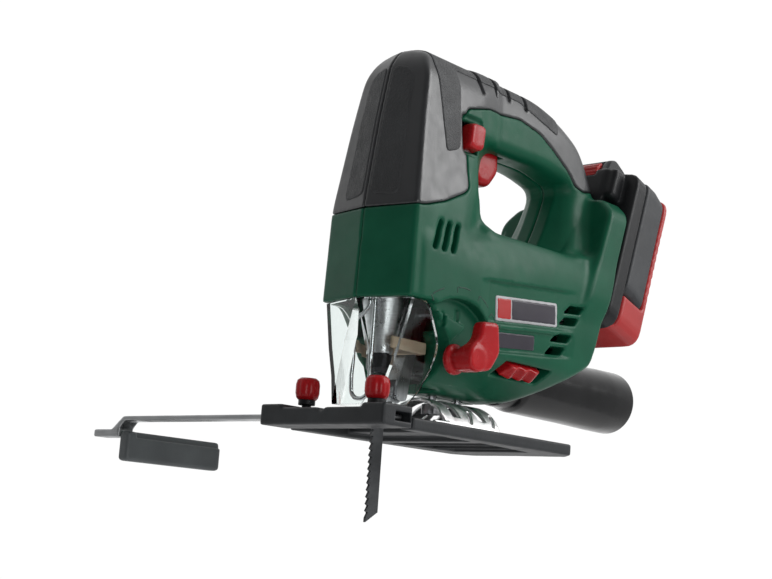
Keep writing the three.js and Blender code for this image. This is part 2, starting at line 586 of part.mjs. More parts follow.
function makeShoe() {
  const half = [[SHOE_HALF, SHOE_FRONT], [SHOE_HALF, SHOE_REAR - 9], [SHOE_HALF - 9, SHOE_REAR]];
  const rim = mirrored([...half, [0, SHOE_REAR - 1.5]]);
  const plate = prism('plan', rim, 0, SHOE_TOP)
    .subtract(box(-RAIL_INNER, RAIL_INNER, SHOE_FRONT - 1, -24, -1, 10))
    .subtract(prism('plan', mirrored([[RAIL_INNER, -26], [RAIL_INNER - 1, -4]]), -1, POCKET))
    .subtract(prism('plan', mirrored([[RAIL_INNER - 1, 4], [24, 50]]), -1, POCKET))
    .subtract(mirroredBoxes(18, FOOT_HALF + GAP, SADDLE_FRONT - GAP, SADDLE_REAR + GAP, FOOT_LOW - GAP, 10));
  add('shoe_plate', largest(plate), CHARCOAL, 0.55);

  const lugs = mirrored([[SHOE_HALF, 0.4], [SHOE_HALF, 10.3], [25.4, 10.3], [24.4, 8.4], [3, 8.4]]);
  const bar = prism('front', lugs.concat([[0, 6.6]]), BAR_FRONT, SHOE_FRONT - GAP)
    .subtract(box(-60, 60, ROD_Y - 5.4, ROD_Y + 5.4, 3, 7.2))
    .subtract(rod('z', 2.6, 5, 20, 12, [SCREW_X, ROD_Y, 0]))
    .subtract(rod('z', 2.6, 5, 20, 12, [-SCREW_X, ROD_Y, 0]));
  add('shoe_front_bar', bar, CHARCOAL, 0.55);

  // an arch on two flush feet, slotted for the clamp screws through the whole tilt
  const fan = [[0, 0], [-30, 21.5], [-30, 40], [30, 40], [30, 21.5]];
  const slot = (y) => prism('front', fan, y - 2.9, y + 2.9);
  const arch = ring('y', SADDLE_OUTER - SADDLE_WALL, SADDLE_OUTER, SADDLE_FRONT, SADDLE_REAR, 36)
    .intersect(box(-40, 40, -30, 40, FOOT_LOW, 30));
  const feet = mirroredBoxes(19, FOOT_HALF, SADDLE_FRONT + 4, SADDLE_REAR, FOOT_LOW, SHOE_TOP - 0.1);
  const saddle = arch.add(feet).subtract(slot(0)).subtract(slot(20))
    .subtract(box(-17, 17, -30, -10, 0, 40));
  add('bevel_saddle', largest(saddle), CHROME, 0.2, 1);
  const screw = [[0, 13.6], [4.6, 13.6], [4.6, 18.4], [2.3, 18.4], [2.3, 30], [0, 30]];
  [0, 20].forEach((y, i) => {
    add(`bevel_screw_${i + 1}`, turned('z', screw, 12, [0, y, 0]), STEEL, 0.3, 1);
  });
}

// A flat bar through the front bar, stepped down at its far end to carry the guide plate.
const GUIDE = { inner: -147, outer: -155, front: -68, rear: -3, low: -16.9, high: -1.3 };
const ROD_BASE = 4;
const ROD_TOP = 6.4;

function makeFence() {
  const bar = [[34, ROD_BASE], [34, ROD_TOP], [-152.6, ROD_TOP], [-161.6, -0.5], [-176.5, -0.5],
    [-176.5, -4.4], [GUIDE.outer - GAP, -4.4], [GUIDE.outer - GAP, 0.2], [-151.4, ROD_BASE]];
  add('fence_rod', prism('front', bar, ROD_Y - 5, ROD_Y + 5), STEEL, 0.35, 1);
  const { inner, outer, front, rear, low, high } = GUIDE;
  add('fence_plate', box(outer, inner, front, rear, low, high), GREY, 0.6);
}

function makeThumbScrews() {
  const flutes = 8;
  for (const [name, side] of [['left', 1], ['right', -1]]) {
    const shape = new THREE.Shape();
    for (let i = 0; i < flutes * 3; i += 1) {
      const angle = (i / (flutes * 3)) * 2 * Math.PI;
      const radius = i % 3 === 0 ? 5.1 : 5.8;
      const at = [radius * Math.cos(angle), radius * Math.sin(angle)];
      if (i === 0) shape.moveTo(...at);
      else shape.lineTo(...at);
    }
    const knob = prism('plan', shape, 13.4, 22.4)
      .add(turned('z', [[0, 11], [4.2, 11], [5, 13.5], [0, 13.5]], 14))
      .add(turned('z', [[0, 22.3], [5, 22.3], [4, 23.5], [0, 23.5]], 14))
      .add(rod('z', 2.2, 6.8, 11.5, 12));
    add(`thumb_screw_${name}`, knob.translate([side * SCREW_X, ROD_Y, 0]), RED, 0.3);
  }
}

function makeDustPort() {
  const port = turned('y', [[12, 36], [PORT_RADIUS - 3, 48], [PORT_RADIUS - 3, 56], [PORT_RADIUS - 1.5, 62],
    [PORT_RADIUS - 1.5, 146], [PORT_RADIUS, 148], [PORT_RADIUS, 156], [PORT_RADIUS - 2.4, 156],
    [PORT_RADIUS - 3.8, 62], [PORT_RADIUS - 5.4, 55], [10, 36]], 24, [0, 0, PORT_Z]);
  add('dust_port', port, BLACK, 0.5);
}

// ---------------------------------------------------------------- battery
const CELL_RADIUS = 9;
const CELL_LENGTH = 65;

function makeBattery() {
  const pack = new THREE.Group();
  pack.position.set(0, SOCKET.y, SOCKET.z);
  pack.rotation.x = THREE.MathUtils.degToRad(-SOCKET.lean);
  object.add(pack);
  const low = -12;
  const high = 80;
  const slab = (n0, n1, u0 = low) => prism('front',
    mirrored([[BATTERY_HALF, u0, 7], [BATTERY_HALF, high, 7]]), n0, n1);
  const room = (half, n0, n1) => box(-half, half, n0, n1, 3, 74);

  const rails = box(-21.5, 21.5, -8.8, 1, 1, 73.5);
  const head = prism('side', [[-8.8, 57], [-8.8, 76], [-3, 88, 2], [3, 92, 2], [13, 89, 2], [14.5, 80.3],
    [11, 80.3], [11, 57]], -20, 20).add(box(-28, 28, -8.8, 1, 60.3, 78));
  const caseBody = slab(GAP, 11).add(rails).add(head)
    .subtract(box(-14.3, 14.3, -20, -0.7, 75.6, 100))
    .subtract(room(19.4, -6.9, 12)).subtract(room(33, 8, 12));
  add('battery_case', caseBody, BLACK, 0.55, 0, pack);
  add('battery_cover', slab(11.3, 29.7, 9).subtract(room(30, 11, 31)), GREY, 0.6, 0, pack);
  const strip = [[30, 90], [34, 90], [34, -12, 5], [11.3, -12], [11.3, 8.7], [30, 8.7]];
  const shell = slab(11.3, 34)
    .intersect(prism('side', strip, -50, 50))
    .subtract(room(30, 11, 31.2));
  add('battery_shell', shell, RED, 0.4, 0, pack);
  const key = [[-8.5, 76], [-8.5, 81, 2], [-5.5, 85.5, 1], [-4, 85.5], [-4, 76]];
  add('battery_latch', prism('side', key, -13.9, 13.9), RED, 0.4, 0, pack);

  const cell = (x, n) => rod('z', CELL_RADIUS, 6, 6 + CELL_LENGTH, 12, [x, n, 0]);
  const places = [[-20, 20.9], [0, 20.9], [20, 20.9], [-9.2, 2.3], [9.2, 2.3]];
  places.forEach(([x, n], i) => add(`battery_cell_${i + 1}`, cell(x, n), CELL, 0.4, 0, pack));
  add('battery_contacts', box(-14, 14, -8, -1, -5, 0.7), BLACK, 0.5, 0, pack);
  add('tool_contacts', box(-14, 14, -8, -1, -11.6, -5.3), BLACK, 0.5, 0, pack);
}

makeHousing();
makeHousingScrews();
makePlates();
makeDrive();
makeGearbox();
makePlunger();
makeRoller();
makeGuards();
makeControls();
makeShoe();
makeFence();
makeThumbScrews();
makeDustPort();
makeBattery();

export default object;
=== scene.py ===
import math

import bmesh
import bpy
import numpy as np
from mathutils import Matrix, Vector


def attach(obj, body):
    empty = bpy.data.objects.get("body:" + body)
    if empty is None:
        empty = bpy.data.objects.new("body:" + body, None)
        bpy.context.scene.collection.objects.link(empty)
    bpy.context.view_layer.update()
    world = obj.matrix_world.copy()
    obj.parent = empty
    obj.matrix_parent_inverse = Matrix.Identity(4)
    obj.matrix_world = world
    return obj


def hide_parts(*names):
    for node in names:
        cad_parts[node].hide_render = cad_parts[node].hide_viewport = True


# Cordless jigsaw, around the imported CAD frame. Lengths inside this file are millimetres and
# are turned into metres where a mesh is made. +Z is up from the sole, the saw cuts towards -Y.
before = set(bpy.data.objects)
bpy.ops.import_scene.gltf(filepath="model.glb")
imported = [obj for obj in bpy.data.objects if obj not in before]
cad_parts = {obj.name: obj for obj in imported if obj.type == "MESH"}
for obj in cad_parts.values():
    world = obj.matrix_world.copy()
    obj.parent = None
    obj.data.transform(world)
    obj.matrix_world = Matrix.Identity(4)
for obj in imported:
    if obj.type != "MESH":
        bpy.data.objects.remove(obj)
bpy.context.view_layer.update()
MM = 0.001

LEVER = (-20.0, 37.0)                       # the orbital lever's axis, as (y, z)
BLADE_Y = -38.0
KNOB_AT = (22.0, -63.6)                     # the left knob's axis, as (x, y)
PORT_Z = 38.0                               # height of the dust port's axis
WALL = 5.0
FRONT_WALL = 2.2                            # wall between the guard's room and the hollow
CAVITY_HALF = 25.0                          # half of the hollow's width
SKIN = 2.2                                  # thickness of the soft grip
SEAM = 0.14                                 # half of the gap between the two halves
NOSE_FOOT = 61.8                            # height of the nose's lower edge
WEDGE = 0.246                               # how far the nose's front falls back, per mm of x
SOCKET = (98.0, 86.0, math.radians(17.4))   # the battery's interface: y, z and lean
FLANK = (28.7, 37.6)                        # a point on the sloped lower flank, as (x, z)
FLANK_SLOPE = math.sqrt(0.5)
SADDLE_RADII = (19.05, 20.95)

COARSE = 1.0         # every mesh's cells grow by this


# ------------------------------------------------------------------ fields
# A field gives the signed distance from a surface, negative inside it.
def far(a, b, k=1.0):
    """Both: the space inside a and inside b, with the edge rounded over about k."""
    h = np.maximum(k - np.abs(a - b), 0) / k
    return np.maximum(a, b) + h * h * k * 0.25


def near(a, b, k=1.0):
    """Either: the space inside a or inside b, with the inner corner filled over about k."""
    return -far(-a, -b, k)


def less(a, b, k=1.0):
    """a with b cut away."""
    return far(a, -b, k)


def rounded(profile, reach=0.6, steps=3):
    """An outline with each corner turned into a short curve."""
    out = []
    n = len(profile)
    for i, here in enumerate(profile):
        here = Vector(here)
        back = Vector(profile[i - 1]) - here
        forth = Vector(profile[(i + 1) % n]) - here
        r = min(reach, back.length * 0.45, forth.length * 0.45)
        start = here + back.normalized() * r
        end = here + forth.normalized() * r
        for j in range(steps + 1):
            t = j / steps
            out.append(tuple(start * (1 - t) ** 2 + here * 2 * t * (1 - t) + end * t * t))
    return out


def outline(corners, a, b):
    """The signed distance from a closed outline."""
    best = np.inf
    inside = False
    for (p, q), (r, s) in zip(corners, corners[1:] + corners[:1]):
        u, v = r - p, s - q
        t = np.clip(((a - p) * u + (b - q) * v) / (u * u + v * v), 0, 1)
        best = np.minimum(best, (a - p - t * u) ** 2 + (b - q - t * v) ** 2)
        if v:
            crosses = ((q > b) != (s > b)) & (a < p + (b - q) * u / v)
            inside = inside ^ crosses
    return np.where(inside, -1, 1) * np.sqrt(best)


def shape(corners, reach=0.0):
    """A closed outline as a fast field of two coordinates: its distances, sampled on a fine grid."""
    points = rounded(corners, reach, 5) if reach else corners
    margin = 10.0
    step = 0.5
    low = np.min(points, 0) - margin
    count = np.ceil((np.max(points, 0) + margin - low) / step).astype(int) + 1
    along = [low[i] + step * np.arange(count[i]) for i in (0, 1)]
    grid = outline(points, along[0][:, None], along[1][None, :])

    def field(a, b):
        i = np.clip((a - low[0]) / step, 0, count[0] - 1.001)
        j = np.clip((b - low[1]) / step, 0, count[1] - 1.001)
        beyond = np.abs(a - low[0] - i * step) + np.abs(b - low[1] - j * step)
        i0, j0 = np.floor(i).astype(int), np.floor(j).astype(int)
        s, t = i - i0, j - j0
        low_side = grid[i0, j0] * (1 - t) + grid[i0, j0 + 1] * t
        high_side = grid[i0 + 1, j0] * (1 - t) + grid[i0 + 1, j0 + 1] * t
        return low_side * (1 - s) + high_side * s + beyond
    return field


def lowest(fields):
    """The union of several fields, with sharp inner corners."""
    out = fields[0]
    for each in fields[1:]:
        out = np.minimum(out, each)
    return out


def block(x, y, z, low, high, k=1.0):
    """A box between two corners, with its edges rounded over about k."""
    out = far(np.maximum(low[0] - x, x - high[0]), np.maximum(low[1] - y, y - high[1]), k)
    return far(out, np.maximum(low[2] - z, z - high[2]), k)


def slab(v, low, high):
    """The space between two parallel planes."""
    return np.maximum(low - v, v - high)


def disc(a, b, centre, radius):
    """A round column."""
    return np.hypot(a - centre[0], b - centre[1]) - radius


def capsule(a, b, start, end, radius):
    """A slot with round ends between two points."""
    u, v = end[0] - start[0], end[1] - start[1]
    t = np.clip(((a - start[0]) * u + (b - start[1]) * v) / (u * u + v * v), 0, 1)
    return np.hypot(a - start[0] - t * u, b - start[1] - t * v) - radius


# ------------------------------------------------------------------ meshes
CORNERS = [(i, j, k) for i in (0, 1) for j in (0, 1) for k in (0, 1)]
EDGES = [(a, b) for a in range(8) for b in range(a + 1, 8)
         if sum(abs(p - q) for p, q in zip(CORNERS[a], CORNERS[b])) == 1]


def net(field, low, high, pitch):
    """Points and quads of a field's zero surface: one point in each cell that it crosses."""
    before, beyond = 1.6 * pitch, 2.1 * pitch
    axes = [np.arange(a - before, b + beyond, pitch) for a, b in zip(low, high)]
    count = tuple(len(a) for a in axes)
    values = field(axes[0][:, None, None], axes[1][None, :, None], axes[2][None, None, :])
    values = np.broadcast_to(values, count)
    inside = values < 0
    cells = tuple(c - 1 for c in count)
    total = sum(inside[i:i + cells[0], j:j + cells[1], k:k + cells[2]].astype(np.int8)
                for i, j, k in CORNERS)
    active = (total > 0) & (total < 8)
    index = np.full(cells, -1)
    index[active] = np.arange(active.sum())
    at = np.argwhere(active)
    corner = np.stack([values[at[:, 0] + i, at[:, 1] + j, at[:, 2] + k] for i, j, k in CORNERS], 1)
    places = np.array(CORNERS, float)
    sums = np.zeros((len(at), 3))
    hits = np.zeros(len(at))
    for a, b in EDGES:
        va, vb = corner[:, a], corner[:, b]
        cross = (va < 0) != (vb < 0)
        t = np.where(cross, va / np.where(cross, va - vb, 1), 0)
        sums += np.where(cross[:, None], places[a] + t[:, None] * (places[b] - places[a]), 0)
        hits += cross
    origin = np.array([a[0] for a in axes])
    points = origin + (at + sums / hits[:, None]) * pitch
    quads = []
    for axis in range(3):
        one, two = (axis + 1) % 3, (axis + 2) % 3
        lower = np.take(inside, range(count[axis] - 1), axis)
        upper = np.take(inside, range(1, count[axis]), axis)
        edge = np.argwhere(lower != upper)
        edge = edge[(edge[:, one] > 0) & (edge[:, one] < count[one] - 1)
                    & (edge[:, two] > 0) & (edge[:, two] < count[two] - 1)]
        ring = []
        for d1, d2 in ((-1, -1), (0, -1), (0, 0), (-1, 0)):
            cell = edge.copy()
            cell[:, one] += d1
            cell[:, two] += d2
            ring.append(index[tuple(cell.T)])
        ring = np.stack(ring, 1)
        out = lower[tuple(edge.T)]
        ring[~out] = ring[~out][:, ::-1]
        quads.append(ring)
    return points, np.concatenate(quads)


def settle(field, points, pitch):
    """Moves each point onto the field's zero surface, by less than one cell."""
    step = 0.02
    least_slope = 0.2
    farthest = pitch * 0.8
    start = points.copy()
    for _ in range(3):
        x, y, z = points.T
        value = field(x, y, z)
        slope = np.stack([field(x + step, y, z) - value, field(x, y + step, z) - value,
                          field(x, y, z + step) - value], 1) / step
        square = np.maximum((slope ** 2).sum(1), least_slope)
        points = points - (value / square)[:, None] * slope
        drift = points - start
        length = np.maximum(np.linalg.norm(drift, axis=1), 1e-9)
        points = start + drift * np.minimum(1, farthest / length)[:, None]
    return points


def install(piece, body, nodes):
    """Links a piece, puts it on its body, and hides the CAD nodes that it stands for."""
    bpy.context.collection.objects.link(piece)
    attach(piece, body)
    if nodes:
        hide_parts(*nodes)
    return piece


def mesh_piece(name, points, faces, body, material, nodes=()):
    """A piece from points in millimetres."""
    mesh = bpy.data.meshes.new(name)
    mesh.from_pydata((np.asarray(points) * MM).tolist(), [], [list(map(int, f)) for f in faces])
    mesh.validate()
    mesh.polygons.foreach_set("use_smooth", [True] * len(mesh.polygons))
    mesh.materials.append(material)
    return install(bpy.data.objects.new(name, mesh), body, nodes)


def carve(name, field, low, high, pitch, body, material, nodes=(), place=None):
    """A piece from a field, between two corners. place turns the field's own frame into the row's."""
    pitch = pitch * COARSE
    points, quads = net(field, low, high, pitch)
    points = settle(field, points, pitch)
    if place is not None:
        turn = np.array(place.to_3x3())
        points = points @ turn.T + np.array(place.translation)
    return mesh_piece(name, points, quads, body, material, nodes)


def lathe(name, profile, axis, centre, body, material, nodes=(), steps=96, ripple=None):
    """A turned piece: profile is a closed outline of (radius, along). ripple changes the radius."""
    points = []
    for i in range(steps):
        angle = 2 * math.pi * i / steps
        for radius, along in profile:
            r = radius * (ripple(angle, along) if ripple else 1)
            a, b = r * math.cos(angle), r * math.sin(angle)
            spot = (b, along, a) if axis == "y" else (a, b, along)
            points.append([p + c for p, c in zip(spot, centre)])
    n = len(profile)
    faces = []
    for i in range(steps):
        j = (i + 1) % steps
        for k in range(n):
            m = (k + 1) % n
            faces.append([i * n + k, j * n + k, j * n + m, i * n + m])
    piece = mesh_piece(name, points, faces, body, material, nodes)
    tidy_mesh(piece)
    return piece


def tidy_mesh(piece):
    """Joins points that lie together and turns every face outwards."""
    work = bmesh.new()
    work.from_mesh(piece.data)
    bmesh.ops.remove_doubles(work, verts=work.verts, dist=0.00001)
    bmesh.ops.recalc_face_normals(work, faces=work.faces)
    work.to_mesh(piece.data)
    work.free()


def tube(name, path, radius, body, material, nodes):
    """A round wire along a smooth path of points."""
    curve = bpy.data.curves.new(name, "CURVE")
    curve.dimensions = "3D"
    curve.bevel_depth = radius * MM
    curve.bevel_resolution = 3
    curve.use_fill_caps = True
    curve.resolution_u = 8
    spline = curve.splines.new("BEZIER")
    spline.bezier_points.add(len(path) - 1)
    for point, at in zip(spline.bezier_points, path):
        point.co = Vector(at) * MM
        point.handle_left_type = point.handle_right_type = "AUTO"
    curve.materials.append(material)
    return install(bpy.data.objects.new(name, curve), body, nodes)


def dress(names, material):
    """Gives CAD nodes that keep their own shape a material."""
    for name in names:
        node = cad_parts[name]
        node.data.materials.clear()
        node.data.materials.append(material)


# ------------------------------------------------------------------ materials
def shader(name, color, rough, metal=0.0, **sockets):
    """A new node material and its principled shader. sockets are set on the shader itself."""
    made = bpy.data.materials.new(name)
    made.use_nodes = True
    principled = made.node_tree.nodes["Principled BSDF"]
    principled.inputs["Base Color"].default_value = (*color, 1)
    principled.inputs["Roughness"].default_value = rough
    principled.inputs["Metallic"].default_value = metal
    for socket, value in sockets.items():
        principled.inputs[socket.replace("_", " ")].default_value = value
    return made, principled


def noise(tree, scale, detail=3.0, stretch=None):
    """Noise in the object's own space, in metres."""
    place = tree.nodes.new("ShaderNodeTexCoord")
    out = place.outputs["Object"]
    if stretch:
        mapping = tree.nodes.new("ShaderNodeMapping")
        mapping.inputs["Scale"].default_value = stretch
        tree.links.new(out, mapping.inputs["Vector"])
        out = mapping.outputs["Vector"]
    texture = tree.nodes.new("ShaderNodeTexNoise")
    texture.inputs["Scale"].default_value = scale
    texture.inputs["Detail"].default_value = detail
    tree.links.new(out, texture.inputs["Vector"])
    return texture.outputs["Fac"]


def ramp(tree, source, low, high, start=0.3, end=0.7):
    """A value that goes from low to high while source goes from start to end."""
    node = tree.nodes.new("ShaderNodeMapRange")
    node.inputs["From Min"].default_value = start
    node.inputs["From Max"].default_value = end
    node.inputs["To Min"].default_value = low
    node.inputs["To Max"].default_value = high
    tree.links.new(source, node.inputs["Value"])
    return node.outputs["Result"]


def tinted(tree, source, one, two):
    """A colour that goes from one to two with source. one is a colour or another node's output."""
    node = tree.nodes.new("ShaderNodeMix")
    node.data_type = "RGBA"
    tree.links.new(source, node.inputs["Factor"])
    if isinstance(one, tuple):
        node.inputs["A"].default_value = (*one, 1)
    else:
        tree.links.new(one, node.inputs["A"])
    node.inputs["B"].default_value = (*two, 1)
    return node.outputs["Result"]


def bump(tree, principled, source, height):
    """Small relief of a height in metres."""
    node = tree.nodes.new("ShaderNodeBump")
    node.inputs["Strength"].default_value = 1.0
    node.inputs["Distance"].default_value = height
    tree.links.new(source, node.inputs["Height"])
    tree.links.new(node.outputs["Normal"], principled.inputs["Normal"])


def plastic(name, color, rough, grain=2600.0, height=0.00004, spread=0.12, **sockets):
    """Moulded plastic: fine spark texture, slow changes of tone and of gloss, and a painted highlight along
    sharp edges.
    """
    made, principled = shader(name, color, rough, **sockets)
    tree = made.node_tree
    slow = ramp(tree, noise(tree, 45, 4), 0, 1)
    dark = tuple(c * (1 - spread) for c in color)
    pale = tuple(min(1, c * (1 + spread) + 0.004) for c in color)
    # paler colour on sharp convex edges is a painted highlight, standing in for edges that catch the light
    edge = tree.nodes.new("ShaderNodeNewGeometry")
    edge_highlight = ramp(tree, edge.outputs["Pointiness"], 0, 0.5, 0.52, 0.62)
    base = tinted(tree, slow, dark, pale)
    highlighted_base = tinted(tree, edge_highlight, base, tuple(min(1, c * 1.5 + 0.015) for c in color))
    tree.links.new(highlighted_base, principled.inputs["Base Color"])
    tree.links.new(ramp(tree, noise(tree, 160, 3), rough - 0.05, rough + 0.06),
                   principled.inputs["Roughness"])
    bump(tree, principled, noise(tree, grain, 2), height)
    return made


def metal(name, color, rough, stretch=(1, 1, 1), scale=900.0, height=0.00001):
    """Worked metal: fine lines along the direction where stretch is small."""
    made, principled = shader(name, color, rough, 1.0)
    tree = made.node_tree
    lines = noise(tree, scale, 4, stretch)
    tone = ramp(tree, lines, 0, 1)
    base = tinted(tree, tone, tuple(c * 0.82 for c in color), tuple(min(1, c * 1.08) for c in color))
    tree.links.new(base, principled.inputs["Base Color"])
    tree.links.new(ramp(tree, noise(tree, 140, 3), rough * 0.7, rough * 1.4),
                   principled.inputs["Roughness"])
    bump(tree, principled, lines, height)
    return made


GREEN = (0.003, 0.1, 0.05)
HOUSING = plastic("housing plastic", GREEN, 0.38, 2400, 0.00003, 0.1, Specular_IOR_Level=0.22)
GRIP = plastic("soft grip smooth", (0.024, 0.026, 0.029), 0.36, 3200, 0.00002, 0.12, Specular_IOR_Level=0.9)
GRAIN = plastic("soft grip grain", (0.03, 0.032, 0.035), 0.55, 1300, 0.0005, 0.2, Specular_IOR_Level=0.7)
MARKS = plastic("engraved mark", (0.006, 0.05, 0.03), 0.6, 2400, 0.00002)
RED = plastic("red plastic", (0.46, 0.008, 0.012), 0.25, 2600, 0.00002, 0.12, Specular_IOR_Level=0.3)
RED_PACK = plastic("battery red", (0.5, 0.03, 0.03), 0.4, 2600, 0.00003, 0.12)
BLACK = plastic("black plastic", (0.012, 0.013, 0.015), 0.4, 2600, 0.00003, 0.15, Specular_IOR_Level=0.3)
PORT = plastic("dust port plastic", (0.004, 0.0043, 0.005), 0.17, 1500, 0.000005, 0.15,
               Specular_IOR_Level=0.35)
GREY = plastic("battery grey", (0.04, 0.043, 0.048), 0.5, 1800, 0.00005, 0.15)
FENCE = plastic("fence plastic", (0.09, 0.1, 0.105), 0.46, 1500, 0.00004, 0.15)
SHOE = plastic("shoe coating", (0.016, 0.019, 0.022), 0.5, 1300, 0.00008, 0.18)
BEIGE = plastic("beige felt", (0.55, 0.42, 0.3), 0.85, 900, 0.0002, 0.12)
BOARD = plastic("circuit board", (0.01, 0.12, 0.04), 0.4, 1200, 0.00003)
CELLS = plastic("cell sleeves", (0.02, 0.1, 0.3), 0.35, 1800, 0.00001)
LABEL = plastic("label panel dark", (0.035, 0.03, 0.045), 0.32, 2600, 0.00001)
LABEL_RED = plastic("label panel red", (0.5, 0.02, 0.02), 0.32, 2600, 0.00001)
LABEL_EDGE = plastic("label border", (0.5, 0.5, 0.52), 0.35, 2600, 0.00001)
STEEL = metal("ground steel", (0.5, 0.51, 0.53), 0.32, (1, 1, 0.08))
BAR = metal("rolled steel bar", (0.42, 0.43, 0.44), 0.36, (0.05, 1, 1))
CHROME = metal("plated steel", (0.93, 0.94, 0.95), 0.42, (1, 0.3, 1), 300, 0.00002)
WIRE = metal("polished wire", (0.7, 0.71, 0.73), 0.14, (1, 1, 0.2), 300, 0.00001)
SLEEVE = metal("turned sleeve", (0.72, 0.72, 0.74), 0.3, (0.15, 0.15, 1), 1400)
ALUMINIUM = metal("cast aluminium", (0.55, 0.56, 0.57), 0.5, (1, 1, 1), 400, 0.00008)
BRONZE = metal("bronze", (0.5, 0.33, 0.13), 0.35)
COPPER = metal("copper windings", (0.5, 0.22, 0.1), 0.4, (1, 0.1, 1), 2000, 0.0001)
BLADE = metal("tempered blade", (0.11, 0.115, 0.12), 0.42, (1, 0.1, 0.3), 900, 0.00002)
DARK = metal("blackened steel", (0.05, 0.05, 0.055), 0.38)


def clear():
    """Clear plastic with a faintly uneven polish."""
    made, principled = shader("clear polycarbonate", (0.93, 0.97, 0.96), 0.02, IOR=1.3,
                              Transmission_Weight=1.0)
    tree = made.node_tree
    tree.links.new(ramp(tree, noise(tree, 120, 3), 0.005, 0.03), principled.inputs["Roughness"])
    return made


CLEAR = clear()


# ------------------------------------------------------------------ housing form
NOSE_SIDE = [(-60.3, 45), (20, 45), (20, 190), (-14, 190), (-38, 190), (-46.5, 180), (-52, 151),
             (-58.4, 107)]
NOSE_FRONT = [(-60, 45), (28.6, 45), (28, 107), (24.8, 140), (21.4, 174), (15, 186), (4, 190),
              (-60, 190)]
BODY_SIDE = [(-46, 21.7), (38, 21.7), (60, 31.5), (89, 50), (92.3, 62), (104.8, 106.5), (60, 106.2),
             (14, 105.3), (-20, 112), (-46, 112)]
BODY_FRONT = [(-60, 21.7), (12.6, 21.7), (24.6, 33.7), (33, 42), (35.6, 62), (35.6, 83), (30, 101),
              (22, 108), (-60, 108)]
BODY_PLAN = [(-60, -58), (28, -51), (31, -30), (34.6, 0), (35.7, 30), (35.9, 80), (37, 120), (-60, 120)]
HANDLE_SIDE = [(0, 100), (98, 100), (104.8, 106.5), (109, 149), (102.5, 161), (94, 171.5), (77, 181.5),
               (51, 190.5), (20, 191), (0, 190)]
HANDLE_FRONT = [(-60, 100), (30, 100), (25, 112), (18.8, 132), (16.4, 152), (16.4, 174), (13, 187), (4, 191),
                (-60, 191)]
FLANGE_SIDE = [(84, 100), (99, 143), (116, 143), (91.8, 66), (76, 76)]
FLANGE_FRONT = [(-60, 68), (28, 70), (37, 81), (37, 134), (26, 144), (-60, 144)]
GRIP_OPENING = [(17, 106), (66, 106), (76, 124), (85, 147), (60, 152), (18, 151), (14.5, 128)]
CAP_EDGE = [(-70, 104), (-46, 106.4), (-32, 111), (-17, 118.4), (-13.4, 121.6), (-15.6, 157), (-12, 163),
            (8, 168.5), (38, 172), (56, 169), (68, 163.5), (83, 155), (91, 148), (97, 146.5), (120, 152),
            (120, 215), (-70, 215)]
NOSE_PLAN = [(-60, -70), (32, -70), (32, -22), (23.5, -1), (16, 20), (-60, 20)]

nose_side = shape(NOSE_SIDE, 7)
nose_plan = shape(NOSE_PLAN, 6)
nose_front = shape(NOSE_FRONT, 5)
body_side = shape(BODY_SIDE, 7)
body_front = shape(BODY_FRONT, 7)
body_plan = shape(BODY_PLAN, 6)
handle_side = shape(HANDLE_SIDE, 8)
handle_front = shape(HANDLE_FRONT, 8)
flange_side = shape(FLANGE_SIDE, 3)
flange_front = shape(FLANGE_FRONT, 5)
grip_opening = shape(GRIP_OPENING, 8)
cap_edge = shape(CAP_EDGE, 2)


def outer(x, y, z):
    """The housing's outer form, both halves and the soft grip together."""
    ax = np.abs(x)
    # the nose widens towards the body, and the body's shoulder climbs towards the battery
    widening = 0.1 * np.clip(y + 52, 0, 40) * np.clip((130 - z) / 68, 0, 1)
    climb = np.clip(0.2 * (y - 5), -12, 9) * np.clip((z - 62) / 20, 0, 1)
    nose = far(nose_side(y - WEDGE * ax, z), nose_front(ax - widening, z), 2.2)
    nose = far(far(nose, nose_plan(ax, y), 2), NOSE_FOOT - z, 1)
    body = far(body_side(y, z), body_front(ax, z - climb), 3)
    body = far(body, body_plan(ax, y), 3)
    handle = far(handle_side(y, z), handle_front(ax, z), 7)
    flange = far(flange_side(y, z), flange_front(ax, z), 3)
    out = near(near(nose, body, 3), handle, 5)
    out = near(out, flange, 6)
    # the hand's opening is longer at its two sides than in the middle
    front = (0.9 + 0.4 * np.clip((z - 120) / 25, 0, 1)) * np.clip(ax - 8, 0, 14)
    front = front * np.clip((42 - y) / 26, 0, 1)
    rear = 0.6 * np.clip(ax - 8, 0, 12) * np.clip((y - 48) / 24, 0, 1)
    return less(out, grip_opening(y + (front - rear), z), 7)


def socket(x, y, z):
    """The battery's frame: x, the distance behind the interface, and the height along it."""
    c, s = math.cos(SOCKET[2]), math.sin(SOCKET[2])
    dy, dz = y - SOCKET[0], z - SOCKET[1]
    return x, c * dy - s * dz, s * dy + c * dz


def flank(x, z):
    """The sloped lower flank's frame: the distance up along it, and out of it."""
    dx, dz = x - FLANK[0], z - FLANK[1]
    return (dx + dz) * FLANK_SLOPE, (dx - dz) * FLANK_SLOPE


def band(y, z, low, high, slope):
    """1 well between two edges that rise towards the back, 0 outside them."""
    deep = np.minimum(high + slope * y - z, z - low - slope * y)
    return np.clip(deep / 1.1, 0, 1)


def side_relief(x, y, z):
    """How deep the left side's two label bands lie under the surface."""
    fade = np.clip((y + 8) / 8, 0, 1) * np.clip((70 - y) / 16, 0, 1)
    both = np.maximum(band(y, z, 57.2, 78.6, 0.09), band(y, z, 43.4, 55.6, 0.09))
    return 1.7 * both * fade * np.clip((x - 25) / 4, 0, 1)


# Vents at the back, as the upper edge's start (y, z) and the length.
VENTS = [(63.5, 75.5, 12.5), (60, 69, 12.5), (54.5, 59.5, 13), (51, 52.6, 12.5)]
# Case screws, as (y, z) and the x of the surface round the head.
SCREWS = [(-7.5, 33, -20.4), (72, 62, -35), (91, 128, -36), (4.5, 133, -25)]
